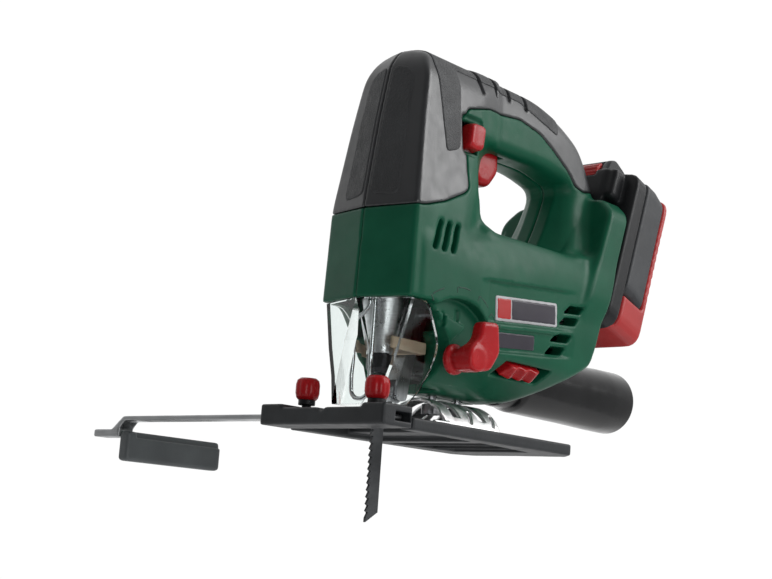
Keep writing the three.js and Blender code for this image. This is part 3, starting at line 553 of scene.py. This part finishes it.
# The lever's recess: a sector about the lever's axis, a ring, and the x of each level.
RECESS_RADIUS = 28.5
RECESS_RING = 10.4
RECESS_MIDDLE = math.radians(78)
RECESS_HALF = math.radians(58)
RECESS_FLOOR = 27.6
PLATE_TOP = 29.2
SLOT_FLOOR = 26.6
# Slots in the raised plate, as y and the two ends' z.
PLATE_SLOTS = [(-28.5, 53, 57), (-17.5, 56, 60)]

guard_room = shape([(-70, 8), (-35, 8), (-27, 21), (-23.4, 31), (-23.4, 45), (-30, 54), (-37, 62),
                    (-70, 62)], 2)
pocket_side = shape([(-16.8, 139), (-0.5, 139), (-0.5, 159.5), (-17.6, 159.5)], 3)
recess_plate = shape([(-38, 59.5), (-12, 53.5), (-26.5, 41.5)], 2)
vent_shapes = [shape([(y - 3.4, z - 3), (y + long - 3, z - 2), (y + long, z + 2.3), (y + 1.6, z + 1.5)],
                     0.8) for y, z, long in VENTS]


def lever_recess(x, y, z):
    """The recess under the orbital lever: a sector and a ring, with a raised plate and its slots."""
    radius = disc(y, z, LEVER, 0)
    spin = np.arctan2(z - LEVER[1], y - LEVER[0])
    sector = far(radius - RECESS_RADIUS, radius * np.sin(np.abs(spin - RECESS_MIDDLE) - RECESS_HALF), 3)
    recess = near(sector, radius - RECESS_RING, 4)
    floor = less(RECESS_FLOOR - x, far(recess_plate(y, z), x - PLATE_TOP, 0.5), 0.5)
    slots = [far(capsule(y, z, (y0, z0), (y0, z1), 1.3), SLOT_FLOOR - x, 0.4)
             for y0, z0, z1 in PLATE_SLOTS]
    shaft = far(disc(y, z, LEVER, 2.3), 24 - x, 0.4)
    return lowest([far(recess, floor, 0.8), *slots, shaft])


def control_openings(x, y, z):
    """Openings for the lock-off button, the trigger and the slide switch."""
    pocket = far(far(pocket_side(y, z), 21.6 - np.abs(x), 1), slab(x, -40, 40), 1)
    button = block(x, y, z, (-60, -15, 141.6), (60, -1.5, 156.5), 1)
    trigger = block(x, y, z, (-7.7, 9, 130), (7.7, 36, 158), 1)
    up, out = flank(x, z)
    window = far(slab(up, -4.9, 4.7), slab(y - 0.5 * up, 15, 52.8), 1.5)
    return lowest([pocket, button, trigger, far(window, -7 - out, 1)])


def air_openings(x, y, z):
    """Three slanted grooves in each side of the nose and four vents in each side at the back."""
    ax = np.abs(x)
    grooves = [capsule(y, z, (-34.6 + 5.9 * i, 100.5), (-39.4 + 5.9 * i, 87.5), 1.3) for i in range(3)]
    out = [far(groove, 25.6 - ax, 0.8) for groove in grooves]
    out += [far(vent(y, z), 24 - ax, 0.8) for vent in vent_shapes]
    return lowest(out)


def mouth(x, y, z):
    """Openings under the nose for the blade clamp, the wire, the roller and the clear guard."""
    return lowest([block(x, y, z, (-23, -49.5, 48), (23, -25.5, 72), 3),
                   block(x, y, z, (-8, -53, 48), (8, -40, 68), 1),
                   block(x, y, z, (-13, -40, 10), (13, -13, 64), 2),
                   guard_room(y, z)])


def fittings(x, y, z):
    """Room for the dust port, the battery, the shoe's two clamp screws and the case screws."""
    port = far(disc(x, z, (0, PORT_Z), 17.9), 35 - y, 1)
    sx, n, u = socket(x, y, z)
    channel = block(sx, n, u, (-22.6, -9.4, -14), (22.6, 60, 120), 1)
    behind = far(-n, slab(sx, -60, 60), 0.5)
    clamps = [far(disc(x, y, (0, at), 2.7), z - 30, 0.5) for at in (0, 20)]
    heads = [far(disc(y, z, (sy, sz), 3.4), x - face - 2.6, 0.6) for sy, sz, face in SCREWS]
    return lowest([port, channel, behind, *clamps, *heads])


def cuts(x, y, z):
    """Everything that is cut into the housing."""
    return lowest([part(x, y, z) for part in (lever_recess, control_openings, air_openings, mouth,
                                              fittings)])


def shell_half(side):
    """One housing half: a wall with its openings, stepped down where the soft grip lies."""
    def field(x, y, z):
        form = outer(x, y, z)
        base = form + side_relief(x, y, z)
        step = far(cap_edge(y, z) - 0.4, -(form + SKIN + 0.3), 0.5)
        cavity = far(far(form + WALL, np.abs(x) - CAVITY_HALF, 2), FRONT_WALL - guard_room(y, z), 1)
        out = less(less(base, step, 0.5), cavity, 0.8)
        out = less(out, cuts(x, y, z), 0.9)
        return far(out, SEAM - side * x, 0.9)
    return field


def grip_half(side):
    """The soft skin over one half's nose and handle."""
    def field(x, y, z):
        form = outer(x, y, z)
        out = far(far(form, -(form + SKIN), 0.4), cap_edge(y, z), 0.9)
        out = less(less(out, cuts(x, y, z), 0.9), drip_grooves(y, z, form), 0.8)
        return far(out, SEAM - side * x, 0.9)
    return field


front_panel = shape([(2, 111.5), (17.5, 110.5), (14.6, 171), (10.5, 177), (2, 179)], 4)
side_strip = shape([(-35.5, 184), (-36, 178), (-30, 136), (-19.5, 140), (-18, 176), (-18, 184)], 3)
top_strip = shape([(-35.5, 181.5), (72, 181.5), (72, 200), (-35.5, 200)], 3)
# Grooves over the top of the handle, as the lower end's (y, z).
DRIPS = [(1, 175.5), (15, 178.5), (29.5, 180.5), (44, 179.5)]


def pad_region(x, y, z):
    """Where the soft grip is grained and stands a little proud."""
    front = far(front_panel(np.abs(x), z), y + 43.5, 1)
    fall = np.clip((y - 38) * 0.3, 0, 20)
    top = top_strip(y, z + fall)
    side = far(near(side_strip(y, z), top, 1), -(y + 41), 1)
    return np.minimum(front, side)


def drip_grooves(y, z, form):
    """Shallow grooves over the handle, each with a round lower end on both sides."""
    grooves = lowest([capsule(y, z, (y0, z0), (y0 - 3, 200), 1.25) for y0, z0 in DRIPS])
    return far(grooves, -(form + 1.3), 0.4)


def pad_half(side):
    """The grained pads on one half of the soft grip."""
    def field(x, y, z):
        form = outer(x, y, z)
        out = far(far(form - 0.4, -(form + 1.3), 0.3), pad_region(x, y, z), 0.6)
        out = less(less(out, cuts(x, y, z), 0.5), drip_grooves(y, z, form - 0.4), 0.5)
        return far(out, 0.4 - side * x, 0.5)
    return field


def on_side(region, proud, depth=0.9):
    """A thin plate that follows the left side's surface inside a region of (y, z)."""
    def field(x, y, z):
        base = outer(x, y, z) + side_relief(x, y, z)
        plate = far(far(base - proud, -(base + depth), 0.25), region(y, z), 0.3)
        return far(plate, 20 - x, 0.3)
    return field


def make_housing():
    """Both halves of the case, with the smooth soft grip and the grained pads over them."""
    for side, word in ((1, "left"), (-1, "right")):
        wide = sorted((0, side * 38))
        narrow = sorted((0, side * 29))
        carve(f"case_{word}", shell_half(side), (wide[0], -60, 21), (wide[1], 118, 189), 0.95,
              "housing", HOUSING, [f"housing_{word}", f"handle_{word}"])
        carve(f"grip_{word}", grip_half(side), (narrow[0], -60, 103), (narrow[1], 111, 192), 0.95,
              "housing", GRIP, [f"soft_grip_{word}"])
        carve(f"grain_pads_{word}", pad_half(side), (narrow[0], -60, 108), (narrow[1], 80, 193), 0.7,
              "housing", GRAIN)


def scale_marks(y, z):
    """Short arcs round the lever, each with a tick, for its four settings."""
    radius = disc(y, z, LEVER, 0)
    spin = np.degrees(np.arctan2(z - LEVER[1], y - LEVER[0]))
    marks = []
    for centre in (118, 88, 62, 40):
        marks.append(far(np.abs(radius - 34) - 0.5, (np.abs(spin - centre) - 7.5) * 0.6, 0.2))
        tick = np.abs(spin - centre - 8.5) * 0.6 - 0.5
        marks.append(far(np.abs(radius - 32.6) - 1.6, tick, 0.2))
    return lowest(marks)


def make_plates():
    """Two blank plates on the left side, the larger with two blank colour fields, and the scale."""
    border = shape([(5.4, 59.6), (55.4, 64.1), (54.4, 76.4), (4.4, 71.9)], 1.2)
    red = shape([(6.6, 60.9), (17.2, 61.9), (16.3, 71.8), (5.7, 70.8)], 0.4)
    dark = shape([(17.8, 62), (54, 65.2), (53.1, 75.1), (16.9, 71.9)], 0.4)
    small = shape([(8.2, 46.9), (38.2, 49.6), (37.4, 57.1), (7.4, 54.4)], 0.8)
    plates = [("name_plate", border, 0.35, LABEL_EDGE, ["name_plate_left"], None),
              ("name_panel_red", red, 0.5, LABEL_RED, [], "red_plastic"),
              ("name_panel_dark", dark, 0.5, LABEL, [], "plate_grey"),
              ("small_plate", small, 0.35, LABEL, ["rating_plate"], None)]
    for name, region, proud, material, nodes, slot in plates:
        carve(name, on_side(region, proud), (30, 3, 43), (38, 58, 79), 0.6, "housing", material, nodes)
    carve("lever_scale", on_side(scale_marks, 0.12), (24, -40, 48), (38, 12, 76), 0.55, "housing", MARKS)


# ------------------------------------------------------------------ controls
lever_arm = shape([(-20, 30.6), (-10, 32.6), (-4.4, 41.5), (-6.2, 55.8), (-17.2, 55), (-18.6, 47),
                   (-25, 41.5), (-25, 33)], 2.5)
trigger_side = shape([(13, 157), (20, 157), (34.6, 153.2), (34.8, 143), (28, 134.3), (19, 133.8), (13, 140),
                      (11, 150)], 3)


def lever_field(x, y, z):
    """A flanged hub on a short stem, with an arm that stands off the side."""
    turn = disc(y, z, LEVER, 0)
    dish = far(turn - 7.3, slab(x, 28, 31), 1.2)
    neck = far(turn - 5.3, slab(x, 31, 43.6), 1.5)
    rise = np.clip((y + 20) * 0.1, 0, 1.6)
    inner = 36.6 - 0.5 * np.clip(44 - z, 0, 6)
    arm = far(lever_arm(y, z), far(inner - x + rise, x - rise - 43.4, 1), 2.2)
    stem = far(turn - 2, slab(x, 24.5, 31), 0.4)
    return near(near(near(dish, neck, 1.6), arm, 2), stem, 0.5)


def slider_field(x, y, z):
    """A slanted key with ribs across it."""
    up, out = flank(x, z)
    top = 1.4 + 0.8 * np.cos((y - 33) * 2 * math.pi / 8.6)
    skew = y - 0.5 * up
    return far(far(slab(up, -3.6, 3.6), slab(skew, 20.2, 44.6), 1.5), slab(out, -6.4, top), 1.2)


def trigger_field(x, y, z):
    """The trigger, with the hole for its pin."""
    form = far(trigger_side(y, z), slab(x, -6.9, 6.9), 4)
    return less(form, disc(y, z, (16, 153.5), 1.7), 0.3)


def button_field(x, y, z):
    """Two hollowed heads, one on each side, on one bar."""
    ax = np.abs(x)
    slope = 0.12 * (z - 149)
    head = block(ax, y - slope, z, (18, -13.8, 142.4), (27.5, -2.8, 155.5), 3)
    hollow = np.hypot(y + 8.5, ax - 47) - 20.3
    head = less(head, hollow, 1)
    return near(head, block(x, y, z, (-21, -13.2, 142.6), (21, -3.4, 145.8), 1), 1)


def make_controls():
    """The four red controls, each on its own body."""
    carve("mode_lever", lever_field, (24, -29, 28), (46.5, -2, 57), 0.6, "lever", RED,
          ["orbital_lever"])
    carve("switch_slide", slider_field, (20, 16, 28), (36, 50, 46), 0.55, "slider", RED,
          ["slide_switch"])
    carve("trigger_key", trigger_field, (-7, 10, 133), (7, 36, 158), 0.6, "trigger", RED,
          ["trigger"])
    carve("lock_button", button_field, (-28, -16, 142), (28, -1, 156), 0.65, "lock_off", RED,
          ["lock_off_button"])


# ------------------------------------------------------------------ guard, wire, clamp
def felt_field(x, y, z):
    """A felt band that is open at the front, with two tabs at the back."""
    ax = np.abs(x)
    form = block(ax, y, z, (-60, -47, 39.1), (14.9, -24, 44.9), 0.8)
    form = less(form, far(ax - 13.2, y + 28.3, 3), 0.6)
    return less(form, far(ax - 10, -(y + 26.9), 0.8), 0.6)


def make_guards():
    """The clear guard, the wire loop, the felt band and the cone of the blade clamp."""
    dress(["clear_guard"], CLEAR)
    y = -51.1
    path = [(2.4, y, 64.5), (2.2, y, 59), (-4.6, y, 52), (-5.8, y, 46), (-5.8, y, 34), (-5.8, y, 22),
            (-4.4, y, 17), (0, y, 15.3), (4.4, y, 17), (5.8, y, 22), (5.8, y, 34), (5.8, y, 50),
            (5.8, y, 64.5)]
    tube("wire_loop", path, 1.05, "housing", WIRE, ["wire_guard"])
    carve("felt_wiper", felt_field, (-15, -47, 39), (15, -24, 45), 0.6, "housing", BEIGE, ["wiper_band"])
    cone = [(4.3, 38), (5.1, 37.9), (5.6, 41), (6.9, 46), (11, 63), (11.4, 68.4), (4.3, 68.4)]
    lathe("clamp_cone", rounded(cone, 0.8), "z", (0, BLADE_Y, 0), "sleeve", SLEEVE, ["clamp_sleeve"])


# ------------------------------------------------------------------ shoe, fence, dust port
shoe_plan = shape([(-39, -57), (39, -57), (39, 65), (30, 74), (0, 72.4), (-30, 74), (-39, 65)], 1.5)
bar_front = shape([(-39, 0.5), (39, 0.5), (39, 10.2), (25.6, 10.2), (24.6, 8.4), (3, 8.4), (0, 6.7),
                   (-3, 8.4), (-24.6, 8.4), (-25.6, 10.2), (-39, 10.2)], 0.8)
pocket_front = shape([(-30.6, -25.6), (30.6, -25.6), (29.6, -4.2), (-29.6, -4.2)], 1.5)
pocket_rear = shape([(-29.6, 4.2), (29.6, 4.2), (23.8, 49.6), (-23.8, 49.6)], 1.5)
rod_side = shape([(34, 4), (34, 6.4), (-152.6, 6.4), (-161.6, -0.5), (-176.4, -0.5), (-176.4, -4.4),
                  (-155.3, -4.4), (-155.3, 0.2), (-151.4, 4)], 1)


def shoe_field(x, y, z):
    """The shoe: two rails and a plate, with hollows underneath, seats for the saddle and an edge line."""
    ax = np.abs(x)
    form = far(shoe_plan(x, y), slab(z, 0.05, 5.7), 1.2)
    form = less(form, block(x, y, z, (-31, -80, -5), (31, -24, 20), 1.5), 1)
    rib = np.abs(np.abs(y - 26) - 9) - 0.7
    hollow = far(np.minimum(pocket_front(x, y), less(pocket_rear(x, y), rib, 0.5)), z - 2.4, 0.8)
    form = less(form, hollow, 0.6)
    seat = block(ax, y, z, (18, -20.3, 3.9), (28.3, 32.3, 20), 0.6)
    form = less(form, seat, 0.6)
    groove = far(np.abs(shoe_plan(x, y) + 4) - 0.6, 5.2 - z, 0.4)
    return less(form, groove, 0.5)


def bar_field(x, y, z):
    """The front bar, with the channel for the guide bar and the holes for its two screws."""
    form = far(bar_front(x, z), slab(y, -76.9, -57.4), 1.6)
    form = less(form, block(x, y, z, (-60, -69, 3), (60, -58.2, 7.2), 0.4), 0.5)
    for side in (-1, 1):
        hole = far(disc(x, y, (side * KNOB_AT[0], KNOB_AT[1]), 2.6), 5 - z, 0.4)
        form = less(form, hole, 0.6)
    return form


def saddle_field(x, y, z):
    """A half-round arch on two flat feet: scalloped at the front, slotted across for the clamp screws."""
    ax = np.abs(x)
    radius = np.hypot(x, z)
    spin = np.degrees(np.arctan2(z, ax))
    notch = 1.1 * np.abs(np.sin(np.radians(spin * 9)))
    arch = far(slab(radius, *SADDLE_RADII), slab(y, -11.5 + notch, 31.9), 0.5)
    arch = far(arch, 4.3 - z, 0.4)
    for at in (0, 20):
        opening = far(np.abs(y - at) - 2.9, 36 - spin, 1)
        arch = less(arch, opening, 0.6)
    for at in (10, 27.5):
        mark = far(capsule(y, spin * 0.35, (at, 11), (at + 2.5, 17), 1.0), 17 - radius, 0.3)
        arch = less(arch, mark, 0.5)
    feet = block(ax, y, z, (19.2, -19.8, 4.25), (27.9, 31.8, 5.6), 0.5)
    toe = block(ax, y, z, (18.2, -19.8, 4.25), (20.3, -8, 9), 0.6)
    return near(near(arch, feet, 1), toe, 0.8)


def rod_field(x, y, z):
    """The guide's flat bar, stepped down at its far end."""
    return far(rod_side(x, z), slab(y, -68.5, -58.7), 0.9)


def fence_field(x, y, z):
    """The guide's plate, thinner along its upper inner edge."""
    form = block(x, y, z, (-154.9, -67.9, -16.9), (-147.1, -3.1, -1.4), 2.2)
    step = block(x, y, z, (-149.2, -62, -4.6), (-140, 10, 5), 1)
    return less(form, step, 0.8)


def flutes(angle, along):
    """Eight finger grooves round a knob, fading at both ends."""
    count = 8
    depth = 0.055 * min(1, max(0, (along - 13.6) / 2)) * min(1, max(0, (23.3 - along) / 2))
    return 1 - depth * (0.5 + 0.5 * math.cos(count * angle)) ** 2


def make_shoe():
    """The sole, its front bar and the bevel saddle."""
    carve("shoe_base", shoe_field, (-39, -57, 0), (39, 74, 6), 0.8, "shoe", SHOE, ["shoe_plate"])
    carve("front_bar", bar_field, (-39, -77, 0), (39, -57, 10.5), 0.7, "shoe", SHOE,
          ["shoe_front_bar"])
    carve("tilt_saddle", saddle_field, (-28, -20, 4), (28, 32, 21.2), 0.6, "shoe", CHROME,
          ["bevel_saddle"])


def make_fence():
    """The parallel guide: its bar and its plate."""
    carve("guide_bar", rod_field, (-177, -69, -5), (34, -58, 7), 0.7, "fence", BAR, ["fence_rod"])
    carve("guide_plate", fence_field, (-155, -68, -17), (-147, -3, -1), 0.7, "fence", FENCE,
          ["fence_plate"])


def make_knobs():
    """Two fluted knobs on black necks. Each stretch of the profile is cut in three for the flutes."""
    profile = [(0, 13.3), (4.3, 13.3), (5.3, 14.4), (5.85, 16.4), (5.85, 20.4), (5.3, 22.4), (3.9, 23.5),
               (0, 23.5)]
    levels = []
    for one, two in zip(profile, profile[1:]):
        levels += [tuple(a + (b - a) * t / 3 for a, b in zip(one, two)) for t in range(3)]
    levels.append(profile[-1])
    neck = rounded([(0, 6.9), (2.2, 6.9), (2.2, 10.8), (4, 10.8), (4, 13.4), (0, 13.4)], 0.4)
    for side, word in ((1, "left"), (-1, "right")):
        centre = (side * KNOB_AT[0], KNOB_AT[1], 0)
        lathe(f"knob_{word}", levels, "z", centre, f"thumb_{word}", RED, [f"thumb_screw_{word}"],
              ripple=flutes)
        lathe(f"knob_neck_{word}", neck, "z", centre, f"thumb_{word}", BLACK, steps=64)


def make_port():
    """The dust port: a flared tube with a rolled end."""
    profile = [(12, 36), (14.4, 48), (14.6, 56), (16, 62), (16.6, 110), (17.4, 138), (17.5, 155),
               (16.9, 156), (15.2, 156), (15, 148), (13.8, 62), (12.2, 55), (10, 36)]
    lathe("hose_tube", rounded(profile, 1.2), "y", (0, 0, PORT_Z), "housing", PORT, ["dust_port"])


# ------------------------------------------------------------------ battery
# Fields here take the battery's own frame: x, n behind the interface and u up along it.
case_end = shape([(-37, -12), (37, -12), (37, 80), (-37, 80)], 9)
cover_end = shape([(-37, 9), (37, 9), (37, 80), (-37, 80)], 7)
case_head = shape([(-8.8, 57), (-8.8, 76), (-3, 88), (3, 92), (13, 89), (14.5, 80.3), (14.5, 60),
                   (-2, 50)], 2)
shell_side = shape([(30, 79.8), (34, 78), (34, -12), (0.6, -12), (0.6, -11), (11.4, -9), (11.4, 8.7),
                    (30, 8.7)], 1.2)
latch_side = shape([(-8.5, 76), (-8.5, 82), (-5.5, 85.6), (-4, 85.6), (-4, 76)], 1)


def case_field(x, n, u):
    """The black case: a collar, rails for the channel, and a head with shoulders and a latch pocket."""
    ax = np.abs(x)
    collar = far(case_end(x, u), slab(n, 0.35, 11), 2)
    rails = block(x, n, u, (-21.4, -8.7, 1), (21.4, 3, 78), 1)
    head = far(case_head(n, u), ax - 20 + 0.25 * np.maximum(u - 80, 0), 2)
    shoulder = block(ax, n, u, (0, -8.7, 60.4), (28, 3, 79), 3)
    out = near(near(near(collar, rails, 1), shoulder, 2), head, 2)
    out = less(out, block(x, n, u, (-14.3, -30, 75.6), (14.3, -0.8, 120), 0.8), 0.8)
    return less(out, block(x, n, u, (-19, -6.5, 3), (19, 30, 73.5), 1), 0.5)


def cover_field(x, n, u):
    """The dark grey cover behind the case."""
    out = far(cover_end(x, u + 0.3 * np.maximum(n - 20, 0)), slab(n, 11.3, 29.8), 2)
    return less(out, block(x, n, u, (-30, 5, 3), (30, 27.5, 74), 1), 0.5)


def pack_field(x, n, u):
    """The red shell: the foot of the battery and a back plate with saw-tooth ribs."""
    saw = 0.9 * np.abs(((u - 14) / 5.2) % 1 - 0.35)
    saw = saw * np.clip((62 - u) / 4, 0, 1) * np.clip((u - 12) / 4, 0, 1)
    out = far(case_end(x, u), shell_side(n + saw, u), 2)
    return less(out, block(x, n, u, (-30, 5, 3), (30, 31, 74), 1), 0.5)


def latch_field(x, n, u):
    """The release key, with ribs on its front."""
    ribs = 0.5 * np.clip(np.cos((u - 77.5) * 2 * math.pi / 2.4), 0, 1)
    front = np.clip((-5 - n) / 2, 0, 1)
    return far(latch_side(n, u) + ribs * front, np.abs(x) - 13.8, 1.2)


def make_battery():
    """The sliding battery and its release key, set into the socket's lean."""
    place = Matrix.Translation((0, SOCKET[0], SOCKET[1])) @ Matrix.Rotation(-SOCKET[2], 4, "X")
    carve("pack_case", case_field, (-37, -9, -12), (37, 15, 93), 0.85, "battery", BLACK,
          ["battery_case"], place)
    carve("pack_cover", cover_field, (-37, 11, 9), (37, 30, 80), 0.85, "battery", GREY,
          ["battery_cover"], place)
    carve("pack_shell", pack_field, (-37, 0, -12), (37, 34, 80), 0.85, "battery", RED_PACK,
          ["battery_shell"], place)
    carve("pack_latch", latch_field, (-14, -9, 76), (14, -4, 86), 0.5, "latch", RED_PACK,
          ["battery_latch"], place)


# ------------------------------------------------------------------ nodes that keep their CAD shape
def dress_nodes():
    """Inner parts, screws and blade: seen through openings or from below, so the CAD shape is enough."""
    dress([f"housing_screw_{i}" for i in (1, 2, 3, 4)] + ["bevel_screw_1", "bevel_screw_2"], STEEL)
    dress(["plunger", "drive_gear", "roller_fork", "guide_roller", "fork_pivot_pin"], STEEL)
    dress(["trigger_pin", "motor_can"], STEEL)
    dress(["motor_bearing_front", "motor_bearing_rear"], CHROME)
    dress(["counterweight", "blade_clamp"], DARK)
    dress(["gearbox_frame"], ALUMINIUM)
    dress(["plunger_bush_lower", "plunger_bush_upper"], BRONZE)
    dress(["armature"], COPPER)
    dress(["saw_blade"], BLADE)
    dress(["cooling_fan", "trigger_switch", "battery_contacts", "tool_contacts"], BLACK)
    dress(["circuit_board"], BOARD)
    dress([f"battery_cell_{i}" for i in (1, 2, 3, 4, 5)], CELLS)


make_housing()
make_plates()
make_controls()
make_guards()
make_shoe()
make_fence()
make_knobs()
make_port()
make_battery()
dress_nodes()


# ------------------------------------------------------------------ stage, light and camera
# Metres from here on.
VIEW = (42.44, -10.18, 4.09)                # azimuth, elevation and roll in degrees
CAMERA_AT = (0.4546, -0.5356, -0.0519)
LENS = 66.9
FLOOR_Z = -0.16
FLOOR_HALF = 0.45


def make_floor():
    """A pale floor under the tool, below the photo view's frame."""
    mesh = bpy.data.meshes.new("floor")
    z, half = FLOOR_Z, FLOOR_HALF
    mesh.from_pydata([(-half, -half, z), (half, -half, z), (half, half, z), (-half, half, z)], [],
                     [(0, 1, 2, 3)])
    floor = bpy.data.objects.new("floor", mesh)
    mesh.materials.append(shader("pale floor", (0.9, 0.9, 0.9), 0.9)[0])
    bpy.context.collection.objects.link(floor)


def make_light(name, energy, place, aim, size):
    """A square soft light that faces a point."""
    data = bpy.data.lights.new(name, "AREA")
    data.energy = energy
    data.size = size
    lamp = bpy.data.objects.new(name, data)
    lamp.location = place
    lamp.rotation_mode = "QUATERNION"
    lamp.rotation_quaternion = (Vector(aim) - Vector(place)).to_track_quat("-Z", "Y")
    bpy.context.collection.objects.link(lamp)


def make_world():
    """White behind the tool, grey beside it and dark in front of it, like a lit backdrop in a studio."""
    away = (-0.67, 0.73, 0.1)
    world = bpy.data.worlds.new("studio")
    world.use_nodes = True
    tree = world.node_tree
    place = tree.nodes.new("ShaderNodeTexCoord")
    along = tree.nodes.new("ShaderNodeVectorMath")
    along.operation = "DOT_PRODUCT"
    tree.links.new(place.outputs["Generated"], along.inputs[0])
    along.inputs[1].default_value = away
    near_side = ramp(tree, along.outputs["Value"], 0.1, 0.5, -0.7, 0.25)
    backdrop = ramp(tree, along.outputs["Value"], 0.0, 0.52, 0.3, 0.75)
    total = tree.nodes.new("ShaderNodeMath")
    tree.links.new(near_side, total.inputs[0])
    tree.links.new(backdrop, total.inputs[1])
    tree.links.new(total.outputs["Value"], tree.nodes["Background"].inputs["Strength"])
    tree.nodes["Background"].inputs["Color"].default_value = (1, 1, 1, 1)
    bpy.context.scene.world = world


def make_camera():
    """The camera of the photo view, turned by its roll about its own axis."""
    azimuth, elevation, roll = (math.radians(a) for a in VIEW)
    back = Vector((math.sin(azimuth) * math.cos(elevation), -math.cos(azimuth) * math.cos(elevation),
                   math.sin(elevation)))
    right = Vector((math.cos(azimuth), math.sin(azimuth), 0))
    up = back.cross(right)
    turned_right = right * math.cos(roll) + up * math.sin(roll)
    turned_up = up * math.cos(roll) - right * math.sin(roll)
    data = bpy.data.cameras.new("camera")
    data.lens = LENS
    data.sensor_width = 36
    data.clip_start = 0.01
    camera = bpy.data.objects.new("camera", data)
    axes = Matrix((turned_right, turned_up, back)).transposed()
    camera.matrix_world = Matrix.Translation(CAMERA_AT) @ axes.to_4x4()
    bpy.context.collection.objects.link(camera)
    bpy.context.scene.camera = camera
    bpy.context.scene.view_settings.view_transform = "Standard"


make_floor()
make_world()
make_light("key", 9.5, (0.95, 0.75, 0.8), (0, 0.03, 0.1), 0.8)
make_light("low", 3, (1.1, -0.5, -0.02), (0, 0, 0.09), 0.6)
make_camera()
